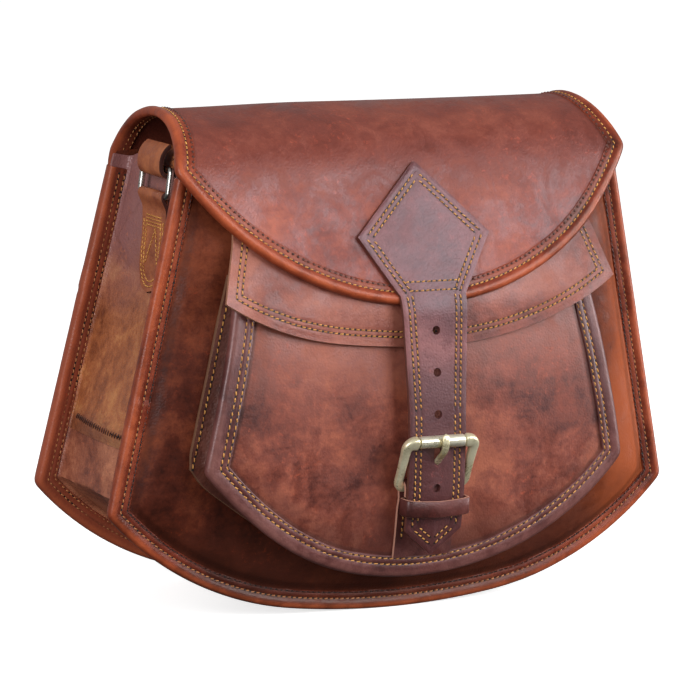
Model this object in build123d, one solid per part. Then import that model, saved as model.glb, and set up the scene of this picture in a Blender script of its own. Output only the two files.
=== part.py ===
from build123d import *
from math import asin, cos, hypot, pi, radians, sin, sqrt, tan
import os

# A leather saddle bag: a curved-bottom body, an arched flap with a billet strap, and a buckled front
# pocket. Millimetres, +X to the wearer's right of the front face, -Y out of the front, +Z up.
# Everything is drawn about the middle of the body seams and moved by TO_ORIGIN when it is written.

# Leather
LEATHER = 2.0
TRIM = 1.0
CLEAR = 0.4
BINDING_WIDTH = 9.0

# Body outline, shared by the front and back panels
BELLY_RADIUS = 400.0
BELLY_HALF = 55.0
CORNER_X, CORNER_Z = 152.5, 56.0
SHOULDER_X, SHOULDER_Z = 119.0, 218.6
SIDE_SLOPE = (CORNER_X - SHOULDER_X) / (SHOULDER_Z - CORNER_Z)
OUTLINE_TOP = 300.0
FRONT_TOP = 216.0
BACK_TOP = 220.7

# Body depth
FRONT_SEAM = -47.0
BACK_FOOT = 47.0
BACK_LEAN = 3.87
GUSSET_INSET = 12.0
GUSSET_JOINT = 92.0
GUSSET_TOP = 224.0
DOME = 9.0
DOME_INSET = 29.0
DOME_DROP = 11.0

# Flap: an arch over the mouth and a straight fall down the front
ARCH_Y, ARCH_Z = -10.5, 197.0
ARCH_RADIUS = 50.0
HINGE_Z = 222.0
HINGE_Y = ARCH_Y + sqrt(ARCH_RADIUS**2 - (HINGE_Z - ARCH_Z) ** 2)
HINGE_GAP = 0.8
FALL_ANGLE = 19.8
FLAP_RADIUS = 148.0
FLAP_CENTRE_Z = 303.0
FLAP_FOOT = FLAP_CENTRE_Z - FLAP_RADIUS
FLAP_BACK, FLAP_WAIST, FLAP_CORNER = 118.0, 114.5, 123.0

# Front pocket
POCKET_RADIUS = 148.0
POCKET_FOOT = 20.0
POCKET_CORNER_X = 114.0
POCKET_SLOPE = 0.2027
POCKET_TOP = 170.0
POCKET_TOP_Y, POCKET_MID_Y, POCKET_FOOT_Y = -65.9, -78.0, -71.0
POCKET_WALL_INSET = 5.0
POCKET_FLANGE = 5.0

# Pocket flap
COVER_HINGE_Z = 204.0
COVER_BEND_Z = 189.0
COVER_FOLD_Z = 155.0
COVER_FOOT = 134.0
COVER_FOOT_Y = -77.0
COVER_RADIUS = 205.0
COVER_TOP_X = 92.3
COVER_CORNER_X, COVER_CORNER_Z = 105.5, 163.2

# Billet strap and its kite patch, sewn a little to one side of the middle
BILLET_X = 2.0
KITE_TOP, KITE_SIDE_X, KITE_SIDE_Z = 219.0, 35.7, 188.0
KITE_NECK_X, KITE_NECK_Z = 17.7, 160.0
BILLET_TOP = 154.0
BILLET_HALF = 15.2
BILLET_TAPER_Z = 105.0
BILLET_SHOULDER_Z, BILLET_TIP_Z = 46.0, 34.0
HOLE_RADIUS = 2.2
HOLE_ROWS = (143.0, 123.0, 103.0)
PRONG_HOLE_Z, PRONG_HOLE_LENGTH = 82.0, 11.0

# Roller buckle on its chape
HEEL_Y, HEEL_Z = -82.2, 67.0
ROLLER_Y, ROLLER_Z = -92.2, 90.3
FRAME_OUTER, FRAME_INNER, FRAME_THICK = 41.6, 31.6, 3.5
PIN_RADIUS = 1.6
ROLLER_RADIUS, ROLLER_LENGTH = 3.0, 24.0
PRONG_WIDTH, PRONG_THICK = 3.0, 2.2
CHAPE_HALF, CHAPE_THICK, CHAPE_FOOT = 15.2, 1.8, 32.0
KEEPER_Z0, KEEPER_Z1, KEEPER_THICK = 53.8, 62.0, 1.5
BILLET_Y = HEEL_Y - PIN_RADIUS - CHAPE_THICK - 3 * CLEAR - LEATHER / 2

# Gusset rings, tabs and shoulder strap
SIDE_Y = -12.0
TAB_WIDTH, TAB_THICK, TAB_FOOT = 26.5, 1.9, 157.0
RING_WIRE = 1.5
RING_INNER = 28.5
RING_CORNER = 2.2
RING_LOW_X, RING_LOW_Z = 114.6, 204.0
RING_TOP_X, RING_TOP_Z = 113.0, 217.5
STRAP_WIDTH, STRAP_THICK = 25.0, 2.5
STRAP_LEVELS = (27.0, 34.0, 41.0, 48.0, 55.0)
STRAP_REACH = 70.0

# The written frame has its origin under the middle of the whole bag
BACK_MOST = BACK_FOOT + TRIM
FRONT_MOST = -98.0
TO_ORIGIN = Pos(0, -(BACK_MOST + FRONT_MOST) / 2, 0)

REACH = 400.0
SIDES = (("left", -1), ("right", 1))


def front_plane(y):
    """Upright sketch plane facing the front, with its own x along X and its own y up."""
    return Plane(origin=(0, y, 0), x_dir=(1, 0, 0), z_dir=(0, -1, 0))


def back_plane(depth):
    """Sketch plane of the leaning back, this far in front of the back panel's outer face."""
    lean = radians(BACK_LEAN)
    normal = Vector(0, -cos(lean), -sin(lean))
    lift = (2 * LEATHER + TRIM) * sin(lean)
    return Plane(origin=Vector(0, BACK_FOOT, lift) + normal * depth, x_dir=(1, 0, 0), z_dir=normal)


def half_width(z):
    """Half width of the body outline on its straight side."""
    return CORNER_X - SIDE_SLOPE * (z - CORNER_Z)


def below(face, top):
    """The part of an outline face below a level."""
    return face & Pos(0, top - REACH / 2) * Rectangle(2 * REACH, REACH)


def inset_face(face, inset):
    """A face shrunk by the same distance all round, with its corners kept sharp."""
    return offset(face, amount=-inset, kind=Kind.INTERSECTION) if inset else face


def body_face(inset=0.0, top=OUTLINE_TOP):
    """Body outline: a flat belly arc, two flank arcs, sharp lower corners, straight sides."""
    belly_end = BELLY_RADIUS - sqrt(BELLY_RADIUS**2 - BELLY_HALF**2)
    belly = ThreePointArc((-BELLY_HALF, belly_end), (0, 0), (BELLY_HALF, belly_end))
    right = TangentArc(belly @ 1, (CORNER_X, CORNER_Z), tangent=belly % 1)
    left = TangentArc(belly @ 0, (-CORNER_X, CORNER_Z), tangent=(belly % 0) * -1)
    top_x = half_width(top)
    sides = Polyline((CORNER_X, CORNER_Z), (top_x, top), (-top_x, top), (-CORNER_X, CORNER_Z))
    return inset_face(make_face([belly, right, left, *sides.edges()]), inset)


def open_body_face(inset, top):
    """Body outline with the inset at its sides and bottom only, and a straight mouth edge."""
    return below(body_face(inset), top)


def slab(face, plane, thickness):
    """A flat plate: the face put on a plane and thickened towards the front."""
    return extrude(plane * face, amount=thickness)


def channel(face_at, plane_at, thickness):
    """Binding folded over an edge: a lip on each side, this wide, and open along its inside."""
    outer = slab(face_at(0) - face_at(BINDING_WIDTH), plane_at(-TRIM), thickness + 2 * TRIM)
    return outer - slab(face_at(TRIM), plane_at(0), thickness)


def side_sheet(path, thickness, half):
    """A sheet bent along a path in the Y-Z plane, with this half width along X."""
    return extrude(Plane.YZ * trace(path, thickness), amount=half, both=True)


def end_sheet(path, thickness, width):
    """A sheet bent along a path in the X-Z plane, as wide along Y, about the gusset's middle."""
    return Pos(0, SIDE_Y, 0) * extrude(Plane.XZ * trace(path, thickness), amount=width / 2, both=True)


def through(face):
    """A front-view outline made into a long block along Y, to cut bent sheets to shape."""
    return extrude(front_plane(REACH / 2) * face, amount=REACH)


# Body

def front_panel():
    """Front panel: a flat rim in the seam and a shallow dome raised in front of it."""
    def dome(forward, extra):
        base = front_plane(FRONT_SEAM - forward) * body_face(GUSSET_INSET + extra, FRONT_TOP)
        crown_face = Pos(0, -DOME_DROP) * body_face(DOME_INSET + extra, FRONT_TOP)
        crown = front_plane(FRONT_SEAM - forward - DOME) * crown_face
        return loft([base, crown], ruled=True)

    rim = slab(open_body_face(TRIM, FRONT_TOP), front_plane(FRONT_SEAM), LEATHER)
    return rim + dome(LEATHER, 0) - dome(0, TRIM)


def back_panel():
    return slab(open_body_face(TRIM, BACK_TOP), back_plane(0), LEATHER)


def gusset_strip():
    """The whole gusset: a wall between the panels with a flange turned out along each seam."""
    wall_face = body_face(GUSSET_INSET) - body_face(GUSSET_INSET + LEATHER)
    wall = extrude(front_plane(BACK_FOOT) * wall_face, amount=BACK_FOOT - FRONT_SEAM)
    behind = back_plane(LEATHER) * Pos(0, 0, -REACH / 2) * Box(2 * REACH, 4 * REACH, REACH)
    flange_face = body_face(TRIM) - body_face(GUSSET_INSET + LEATHER)
    front_flange = slab(flange_face, front_plane(FRONT_SEAM + LEATHER), LEATHER)
    back_flange = slab(flange_face, back_plane(LEATHER), LEATHER)
    strip = (wall - behind) + front_flange + back_flange
    mouth = Polyline(
        (REACH, BACK_TOP - LEATHER), (28, BACK_TOP - LEATHER), (18, GUSSET_TOP), (-36, GUSSET_TOP),
        (FRONT_SEAM + LEATHER, FRONT_TOP), (-REACH, FRONT_TOP), (-REACH, -REACH), (REACH, -REACH), close=True
    )
    return strip & extrude(Plane.YZ * make_face(mouth), amount=REACH, both=True)


def gusset_pieces():
    """Gusset cut at its two cross seams into left, bottom and right strips."""
    strip = gusset_strip()
    upper = Pos(0, 0, GUSSET_JOINT + REACH / 2)
    pieces = {"gusset_bottom": strip - upper * Box(2 * REACH, 2 * REACH, REACH)}
    for name, side in SIDES:
        block = upper * Pos(side * REACH / 2, 0, 0) * Box(REACH, 2 * REACH, REACH)
        pieces[f"gusset_{name}"] = strip & block
    return pieces


def front_binding():
    def face_at(inset):
        return open_body_face(inset, FRONT_TOP)

    def plane_at(depth):
        return front_plane(FRONT_SEAM + LEATHER - depth)

    return channel(face_at, plane_at, 2 * LEATHER)


def back_binding():
    def face_at(inset):
        return open_body_face(inset, BACK_TOP)

    return channel(face_at, back_plane, 2 * LEATHER)


# Pocket

def pocket_arc():
    """Radius and centre of the arc that the pocket's front follows in the Y-Z plane."""
    arc = ThreePointArc((POCKET_TOP_Y, POCKET_TOP), (POCKET_MID_Y, 95.0), (POCKET_FOOT_Y, POCKET_FOOT))
    return arc.radius, arc.arc_center


def pocket_point(z, depth):
    """Point in the Y-Z plane at a level, this far behind the pocket's outer surface."""
    radius, centre = pocket_arc()
    radius -= depth
    return (centre.X - sqrt(radius**2 - (z - centre.Y) ** 2), z)


def pocket_front(depth, z0, z1):
    """Arc at a depth behind the pocket's outer surface, between two levels."""
    middle = pocket_point((z0 + z1) / 2, depth)
    return ThreePointArc(pocket_point(z0, depth), middle, pocket_point(z1, depth))


def pocket_face(inset):
    """Pocket outline: a round bottom, two lower corners and sides that lean inwards."""
    centre_z = POCKET_FOOT + POCKET_RADIUS
    corner_z = centre_z - sqrt(POCKET_RADIUS**2 - POCKET_CORNER_X**2)
    top_x = POCKET_CORNER_X - POCKET_SLOPE * (OUTLINE_TOP - corner_z)
    corner = (POCKET_CORNER_X, corner_z)
    bottom = ThreePointArc((-POCKET_CORNER_X, corner_z), (0, POCKET_FOOT), corner)
    sides = Polyline(corner, (top_x, OUTLINE_TOP), (-top_x, OUTLINE_TOP), (-POCKET_CORNER_X, corner_z))
    return below(inset_face(make_face([bottom, *sides.edges()]), inset), POCKET_TOP)


def pocket_sheet(depth, thickness, face):
    """Part of a bent layer whose outer side lies at a depth in the pocket's front."""
    path = pocket_front(depth + thickness / 2, 0.0, POCKET_TOP + LEATHER)
    return side_sheet(path, thickness, REACH / 2) & through(face)


def pocket_panel():
    return pocket_sheet(0, LEATHER, pocket_face(TRIM))


def pocket_gusset():
    """Pocket wall with a flange on the front panel and one behind the pocket's front."""
    back_y = FRONT_SEAM - LEATHER - DOME
    wall_face = pocket_face(POCKET_WALL_INSET) - pocket_face(POCKET_WALL_INSET + LEATHER)
    wall = extrude(front_plane(back_y) * wall_face, amount=REACH / 8)
    room = pocket_sheet(LEATHER, REACH / 8, pocket_face(0))
    rim = pocket_sheet(LEATHER, LEATHER, pocket_face(TRIM) - pocket_face(POCKET_WALL_INSET + LEATHER))
    foot_face = pocket_face(0) - pocket_face(POCKET_WALL_INSET + LEATHER)
    foot = slab(foot_face, front_plane(back_y), LEATHER)
    return (wall & room) + rim + foot


def pocket_binding():
    """Binding over the pocket's front edge: a wide front lip, and a back lip up to the wall."""
    front = pocket_sheet(-TRIM, TRIM, pocket_face(0) - pocket_face(BINDING_WIDTH))
    edge = pocket_sheet(0, 2 * LEATHER, pocket_face(0) - pocket_face(TRIM))
    back = pocket_sheet(2 * LEATHER, TRIM, pocket_face(0) - pocket_face(POCKET_WALL_INSET))
    return front + edge + back


def cover_path(depth):
    """Pocket flap in the Y-Z plane: off the front panel, under the main flap, over the mouth."""
    under = LEATHER + TRIM + CLEAR + depth
    top_y = FRONT_SEAM - LEATHER - CLEAR - LEATHER + depth
    start = (top_y, COVER_HINGE_Z)
    bend = (fall_y(COVER_BEND_Z, under), COVER_BEND_Z)
    fold = (fall_y(COVER_FOLD_Z, under), COVER_FOLD_Z)
    return Polyline(start, bend, fold, (COVER_FOOT_Y + depth, COVER_FOOT - LEATHER))


def pocket_flap():
    """Pocket flap: leaning sides and a long round lower edge, with cut edges."""
    corner = (COVER_CORNER_X, COVER_CORNER_Z)
    mirrored = (-COVER_CORNER_X, COVER_CORNER_Z)
    bottom = ThreePointArc(mirrored, (0, COVER_FOOT), corner)
    top_z = COVER_HINGE_Z - HINGE_GAP
    sides = Polyline(corner, (COVER_TOP_X, top_z), (-COVER_TOP_X, top_z), mirrored)
    face = make_face([bottom, *sides.edges()])
    return side_sheet(cover_path(LEATHER / 2), LEATHER, REACH / 2) & through(face)


# Main flap

def fall_y(z, depth):
    """Y of the flap's straight fall at a level, this far behind its outer surface."""
    slope = radians(FALL_ANGLE)
    start_y = ARCH_Y - (ARCH_RADIUS - depth) * cos(slope)
    start_z = ARCH_Z + (ARCH_RADIUS - depth) * sin(slope)
    return start_y - (start_z - z) * tan(slope)


def flap_path(depth):
    """Flap in the Y-Z plane, from just above the hinge over the arch and down the front."""
    radius = ARCH_RADIUS - depth
    hinge = asin((HINGE_Z + HINGE_GAP - ARCH_Z) / ARCH_RADIUS)
    fall = pi - radians(FALL_ANGLE)
    crest = (hinge + fall) / 2
    points = [(ARCH_Y + radius * cos(a), ARCH_Z + radius * sin(a)) for a in (hinge, crest, fall)]
    arch = ThreePointArc(*points)
    foot_z = FLAP_FOOT - 2 * LEATHER
    return [arch, Line(points[2], (fall_y(foot_z, depth), foot_z))]


def flap_layer(depth, thickness, inset):
    """A layer of the flap inside its outline: waisted sides in plan, a round foot in front."""
    path = Curve() + flap_path(depth + thickness / 2)
    sheet = side_sheet(path, thickness, REACH / 2)
    front = (FLAP_CORNER, -54.0)
    waist = ThreePointArc((FLAP_BACK, HINGE_Y), (FLAP_WAIST, 2.0), front)
    mirrored = ThreePointArc((-FLAP_BACK, HINGE_Y), (-FLAP_WAIST, 2.0), (-FLAP_CORNER, -54.0))
    back = Polyline((FLAP_BACK, HINGE_Y), (FLAP_BACK, 90), (-FLAP_BACK, 90), (-FLAP_BACK, HINGE_Y))
    ahead = Polyline(front, (FLAP_CORNER + 8, -120), (-FLAP_CORNER - 8, -120), (-FLAP_CORNER, -54.0))
    plan = inset_face(make_face([waist, mirrored, *back.edges(), *ahead.edges()]), inset)
    disc = Pos(0, FLAP_CENTRE_Z) * Circle(FLAP_RADIUS - inset)
    return sheet & extrude(plan, amount=REACH) & through(disc)


def flap_panel():
    return flap_layer(0, LEATHER, TRIM)


def flap_binding():
    """Binding over the flap's sides and foot, cut away under the kite patch."""
    lips = flap_layer(-TRIM, LEATHER + 2 * TRIM, 0) - flap_layer(-TRIM, LEATHER + 2 * TRIM, BINDING_WIDTH)
    return lips - flap_layer(0, LEATHER, TRIM) - patch_block()


def patch_block():
    """Kite outline through the whole front of the flap's outer surface."""
    right = [(KITE_SIDE_X, KITE_SIDE_Z), (KITE_NECK_X, KITE_NECK_Z), (KITE_NECK_X, BILLET_TOP + CLEAR)]
    left = [(-x, z) for x, z in reversed(right)]
    kite = make_face(Polyline((0, KITE_TOP), *right, *left, close=True))
    sheet = side_sheet(Curve() + flap_path(-LEATHER / 2), LEATHER, REACH / 2)
    return sheet & through(Pos(BILLET_X, 0) * kite)


# Billet and buckle

def billet_path():
    """Billet in the Y-Z plane: off the flap, under the roller, over the heel bar, to its tip."""
    start = fall_y(BILLET_TOP, -LEATHER / 2)
    points = [(start, BILLET_TOP), (start - 3.5, 132), (BILLET_Y, 94), (BILLET_Y, 66), (-82.5, BILLET_TIP_Z)]
    return FilletPolyline(*points, radius=30)


def billet_strap():
    """Free part of the billet, with its punched holes and the slot that the prong stands in."""
    half = KITE_NECK_X - 0.3
    right = [(half, BILLET_TOP), (BILLET_HALF, BILLET_TAPER_Z), (BILLET_HALF, BILLET_SHOULDER_Z)]
    left = [(-x, z) for x, z in reversed(right)]
    face = make_face(Polyline(*right, (0, BILLET_TIP_Z), *left, close=True))
    for z in HOLE_ROWS:
        face -= Pos(0, z) * Circle(HOLE_RADIUS)
    face -= Pos(0, PRONG_HOLE_Z) * Rectangle(2 * HOLE_RADIUS, PRONG_HOLE_LENGTH)
    return side_sheet(billet_path(), LEATHER, REACH / 2) & through(face)


def buckle_plane():
    """Plane of the buckle frame: origin on the heel bar, x along X, y towards the roller."""
    up = Vector(0, ROLLER_Y - HEEL_Y, ROLLER_Z - HEEL_Z).normalized()
    return Plane(origin=(0, HEEL_Y, HEEL_Z), x_dir=(1, 0, 0), z_dir=Vector(1, 0, 0).cross(up))


def cross_bar(radius, length, y, z):
    """A round bar along X."""
    return Pos(0, y, z) * Rot(0, 90, 0) * Cylinder(radius, length)


def buckle_frame():
    """Cast frame: two side bars with turned-in ends, a heel bar and a pin for the roller."""
    height = hypot(ROLLER_Y - HEEL_Y, ROLLER_Z - HEEL_Z)
    bar = (FRAME_OUTER - FRAME_INNER) / 2
    outline = Pos(0, height / 2) * RectangleRounded(FRAME_OUTER, height + FRAME_THICK + 1.0, 5.0)
    window = Pos(0, height / 2) * Rectangle(FRAME_INNER, height - FRAME_THICK)
    notch = Pos(0, height) * Rectangle(ROLLER_LENGTH + 2 * CLEAR, 4 * ROLLER_RADIUS)
    heel_gap = Rectangle(FRAME_OUTER - bar, 4 * PIN_RADIUS)
    face = outline - window - notch - heel_gap
    plates = buckle_plane() * extrude(face, amount=FRAME_THICK / 2, both=True)
    pins = [cross_bar(PIN_RADIUS, FRAME_OUTER - bar, *at) for at in ((HEEL_Y, HEEL_Z), (ROLLER_Y, ROLLER_Z))]
    return plates + pins


def buckle_roller():
    tube = cross_bar(ROLLER_RADIUS, ROLLER_LENGTH, ROLLER_Y, ROLLER_Z)
    return tube - cross_bar(PIN_RADIUS + CLEAR / 2, FRAME_OUTER, ROLLER_Y, ROLLER_Z)


def buckle_prong():
    """Prong: an eye round the heel bar, a shank through the billet and a tip over the roller."""
    eye_radius = PIN_RADIUS + CLEAR / 2 + 1.4
    eye = cross_bar(eye_radius, PRONG_WIDTH, HEEL_Y, HEEL_Z)
    route = [(HEEL_Y - 1.0, HEEL_Z + eye_radius - 1), (HEEL_Y - 2.2, 77), (ROLLER_Y - 4.4, 88.5), (ROLLER_Y - 4.6, 95)]
    shank = side_sheet(FilletPolyline(*route, radius=3), PRONG_THICK, PRONG_WIDTH / 2)
    return eye + shank - cross_bar(PIN_RADIUS + CLEAR / 2, FRAME_OUTER, HEEL_Y, HEEL_Z)


def buckle_chape():
    """Chape: sewn up the pocket, folded round the heel bar, with a slot for the prong."""
    wrap = PIN_RADIUS + CLEAR / 2 + CHAPE_THICK / 2
    back = pocket_front(-CHAPE_THICK / 2 - CLEAR / 2, CHAPE_FOOT, HEEL_Z - 7)
    rise = Line(back @ 1, (HEEL_Y + wrap, HEEL_Z))
    fold = ThreePointArc((HEEL_Y + wrap, HEEL_Z), (HEEL_Y, HEEL_Z + wrap), (HEEL_Y - wrap, HEEL_Z))
    turn = Line(fold @ 1, (HEEL_Y - wrap + 0.6, HEEL_Z - 3.5))
    layers = [side_sheet(edge, CHAPE_THICK, CHAPE_HALF) for edge in (back, rise, fold, turn)]
    slot = Pos(0, HEEL_Y, HEEL_Z + 2) * Box(PRONG_WIDTH + 3 * CLEAR, 16, 12)
    lip = pocket_sheet(-TRIM, TRIM, pocket_face(0) - pocket_face(BINDING_WIDTH))
    whole = layers[0] + layers[1] + layers[2] + layers[3]
    return whole - slot - Pos(-BILLET_X, 0, 0) * lip


def keeper_loop():
    """Leather keeper round the billet just below the buckle."""
    back_y = pocket_point((KEEPER_Z0 + KEEPER_Z1) / 2, 0)[0] - CHAPE_THICK - 2 * CLEAR
    front_y = BILLET_Y - LEATHER / 2 - CLEAR - KEEPER_THICK
    height = KEEPER_Z1 - KEEPER_Z0
    inner_x = 2 * (BILLET_HALF + CLEAR)
    centre = Pos(0, (back_y + front_y) / 2, (KEEPER_Z0 + KEEPER_Z1) / 2)
    outer = Box(inner_x + 2 * KEEPER_THICK, back_y - front_y, height)
    return centre * (outer - Box(inner_x, back_y - front_y - 2 * KEEPER_THICK, 2 * height))


# Rings, tabs and shoulder strap

def gusset_x(z):
    """Distance from the middle to the gusset's outer face."""
    return half_width(z) - GUSSET_INSET


def ring(side):
    """Rectangular wire ring on a gusset, leaning with it."""
    low = Vector(side * RING_LOW_X, SIDE_Y, RING_LOW_Z)
    high = Vector(side * RING_TOP_X, SIDE_Y, RING_TOP_Z)
    half = RING_INNER / 2 + RING_WIRE
    across = Vector(0, half, 0)
    path = FilletPolyline(low - across, low + across, high + across, high - across, radius=RING_CORNER, close=True)
    start = path.edges().sort_by(Axis.Z)[0]
    section = Plane(origin=start @ 0.5, z_dir=start % 0.5) * Circle(RING_WIRE)
    return sweep(section, path=path.wire())


def ring_tab(side):
    """Tab sewn to the gusset: two layers with a round lower end, folded round the ring."""
    wrap = RING_WIRE + CLEAR / 2 + TAB_THICK / 2
    low = (side * RING_LOW_X, RING_LOW_Z)
    inner = Line((side * (gusset_x(TAB_FOOT) + TAB_THICK / 2 + CLEAR / 2), TAB_FOOT), (low[0] - side * wrap, low[1]))
    fold = ThreePointArc(inner @ 1, (low[0], low[1] + wrap), (low[0] + side * wrap, low[1]))
    foot = inner @ 0 + Vector(side * (TAB_THICK + 0.05), 0)
    neck = (low[0] + side * (TAB_THICK - wrap + 1.0), low[1] - 9)
    outer = Polyline(fold @ 1, neck, foot)
    layers = [end_sheet(path, TAB_THICK, TAB_WIDTH) for path in (inner, fold, outer)]
    end_radius = TAB_WIDTH / 2
    shape = Pos(SIDE_Y, TAB_FOOT + end_radius) * Circle(end_radius)
    shape += Pos(SIDE_Y, TAB_FOOT + end_radius + 30) * Rectangle(TAB_WIDTH, 60)
    return (layers[0] + layers[1] + layers[2]) & extrude(Plane.YZ * shape, amount=REACH, both=True)


def strap_crest(side):
    """Top of the strap where it passes over the gusset's mouth edge."""
    lift = STRAP_THICK / 2 + CLEAR
    x = gusset_x(GUSSET_TOP) - LEATHER / 2
    return x, GUSSET_TOP, LEATHER / 2 + lift


def strap_end(side):
    """Strap end: looped up round the ring's upper bar and over the gusset's edge, two layers."""
    wrap = RING_WIRE + CLEAR / 2 + STRAP_THICK / 2
    x, z, reach = strap_crest(side)
    low = Vector(side * (RING_TOP_X + wrap), RING_TOP_Z)
    inner = Vector(side * (RING_TOP_X - wrap), RING_TOP_Z)
    bowl = ThreePointArc(low, (side * RING_TOP_X, RING_TOP_Z - wrap), inner)
    shoulder = Vector(side * (x + reach), z)
    rise = Line(inner, shoulder)
    crest = ThreePointArc(shoulder, (side * (x + reach * cos(pi / 4)), z + reach * sin(pi / 4)), (side * x, z + reach))
    bend = low + Vector(-0.3 * side, RING_TOP_Z - RING_LOW_Z - 9.5)
    outside = Polyline(low, bend, (side * (x + reach + STRAP_THICK + 0.6), z + 1.5))
    parts = [end_sheet(path, STRAP_THICK, STRAP_WIDTH) for path in (bowl, rise, crest, outside)]
    return parts[0] + parts[1] + parts[2] + parts[3]


def strap_drop(side):
    """Points of the stowed strap from the mouth down one gusset, outermost first."""
    x, z, reach = strap_crest(1)
    return [(side * px, pz) for px, pz in ((x - reach, z), (122.5, 118), (101, 60))]


def strap_turn(side, level, pitch):
    """Half-round fold between two levels of the stowed strap."""
    end = side * STRAP_REACH
    return ThreePointArc((end, level), (end + side * pitch / 2, level + pitch / 2), (end, level + pitch))


def shoulder_strap():
    """Stowed strap: down one gusset, to and fro across the belly, up the other gusset."""
    pitch = STRAP_LEVELS[1] - STRAP_LEVELS[0]
    first, last = STRAP_LEVELS[0], STRAP_LEVELS[-1]
    x, z, reach = strap_crest(1)
    paths = []
    for side in (-1, 1):
        over = (side * (x - reach * cos(pi / 4)), z + reach * sin(pi / 4))
        paths.append(ThreePointArc((side * x, z + reach), over, (side * (x - reach), z)))
    paths.append(FilletPolyline(*strap_drop(-1), (-STRAP_REACH - 9, first), (-STRAP_REACH, first), radius=8))
    paths.append(FilletPolyline(*strap_drop(1), (STRAP_REACH + 9, last), (STRAP_REACH, last), radius=4))
    for row, level in enumerate(STRAP_LEVELS):
        paths.append(Line((-STRAP_REACH, level), (STRAP_REACH, level)))
        if level != last:
            paths.append(strap_turn(-1 if row % 2 else 1, level, pitch))
    sheets = [end_sheet(path, STRAP_THICK, STRAP_WIDTH) for path in paths]
    return sheets[0].fuse(*sheets[1:])


def build():
    """Every piece of the bag by node name."""
    nodes = {
        "back_panel": back_panel(),
        "front_panel": front_panel(),
        **gusset_pieces(),
        "front_binding": front_binding(),
        "back_binding": back_binding(),
        "pocket_panel": pocket_panel(),
        "pocket_gusset": pocket_gusset(),
        "pocket_binding": pocket_binding(),
        "pocket_flap": pocket_flap(),
        "flap_panel": flap_panel(),
        "flap_binding": flap_binding(),
        "billet_patch": patch_block(),
        "billet_strap": billet_strap(),
        "buckle_frame": buckle_frame(),
        "buckle_roller": buckle_roller(),
        "buckle_prong": buckle_prong(),
        "buckle_chape": buckle_chape(),
        "keeper_loop": keeper_loop(),
        "shoulder_strap": shoulder_strap(),
    }
    for name, side in SIDES:
        nodes[f"ring_{name}"] = ring(side)
        nodes[f"ring_tab_{name}"] = ring_tab(side)
        nodes[f"strap_end_{name}"] = strap_end(side)
    for name in ("billet_strap", "buckle_frame", "buckle_roller", "buckle_prong", "buckle_chape", "keeper_loop"):
        nodes[name] = Pos(BILLET_X, 0, 0) * nodes[name]
    return nodes


os.makedirs("parts", exist_ok=True)
for node, solid in build().items():
    export_step(TO_ORIGIN * solid, f"parts/{node}.step")
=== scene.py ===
import bmesh
import bpy
from math import asin, cos, pi, radians, sin, sqrt, tan
import numpy as np
from mathutils import Matrix, Vector


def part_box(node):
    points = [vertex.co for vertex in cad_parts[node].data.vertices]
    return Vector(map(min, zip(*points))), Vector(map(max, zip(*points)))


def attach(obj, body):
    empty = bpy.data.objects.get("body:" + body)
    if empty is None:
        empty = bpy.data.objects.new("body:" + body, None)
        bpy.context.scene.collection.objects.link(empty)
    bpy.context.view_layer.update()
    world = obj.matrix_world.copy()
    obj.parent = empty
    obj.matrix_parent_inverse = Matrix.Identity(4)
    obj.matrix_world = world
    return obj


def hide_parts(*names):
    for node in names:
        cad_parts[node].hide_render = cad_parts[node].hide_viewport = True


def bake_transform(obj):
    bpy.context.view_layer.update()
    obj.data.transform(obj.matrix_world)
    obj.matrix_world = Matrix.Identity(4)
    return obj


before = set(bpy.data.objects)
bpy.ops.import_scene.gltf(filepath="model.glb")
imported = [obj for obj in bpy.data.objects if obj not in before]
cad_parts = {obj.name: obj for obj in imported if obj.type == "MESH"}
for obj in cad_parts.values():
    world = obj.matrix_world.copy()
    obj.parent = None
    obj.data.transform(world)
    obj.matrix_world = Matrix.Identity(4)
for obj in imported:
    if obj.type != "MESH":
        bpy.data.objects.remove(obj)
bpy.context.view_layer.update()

# ---------------------------------------------------------------------------------------------
# Shape of the bag. Everything is drawn in millimetres about the middle of the body seams, as the
# CAD is, and moved into the frame by ORIGIN when its mesh is made.

MM = 0.001
SEAM_BACK = 48.0
ORIGIN = np.array([0.0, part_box("back_binding")[1][1] / MM - SEAM_BACK, 0.0])

LEATHER = 2.0
TRIM = 1.0

BELLY_RADIUS, BELLY_HALF = 400.0, 55.0
CORNER_X, CORNER_Z = 152.5, 56.0
SIDE_SLOPE = 0.206
FRONT_TOP, BACK_TOP, BACK_SEAM_TOP = 216.0, 220.7, 213.5
FRONT_FACE = -49.0
BACK_FOOT, BACK_LEAN = 47.0, radians(3.87)
GUSSET_JOINT = 92.0

ARCH_Y, ARCH_Z, ARCH_RADIUS = -10.5, 197.0, 50.0
HINGE_Z = 222.0
HINGE_Y = ARCH_Y + sqrt(ARCH_RADIUS**2 - (HINGE_Z - ARCH_Z) ** 2)
FALL = radians(19.8)
FLAP_RADIUS, FLAP_CENTRE_Z, FLAP_CORNER = 148.0, 303.0, 123.0

POCKET_RADIUS, POCKET_FOOT, POCKET_CORNER_X = 148.0, 20.0, 114.0
POCKET_SLOPE, POCKET_TOP = 0.2027, 170.0

COVER_TOP, COVER_TOP_X = 203.0, 92.6
COVER_CORNER_X, COVER_CORNER_Z = 105.5, 163.2
COVER_FOOT = 134.0

HEEL = (-82.2, 67.0)
ROLLER = (-92.2, 90.3)
SIDE_Y = -12.0
BILLET_X = 2.0
RING_LOW, RING_TOP = (114.6, 204.0), (113.0, 217.5)

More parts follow.
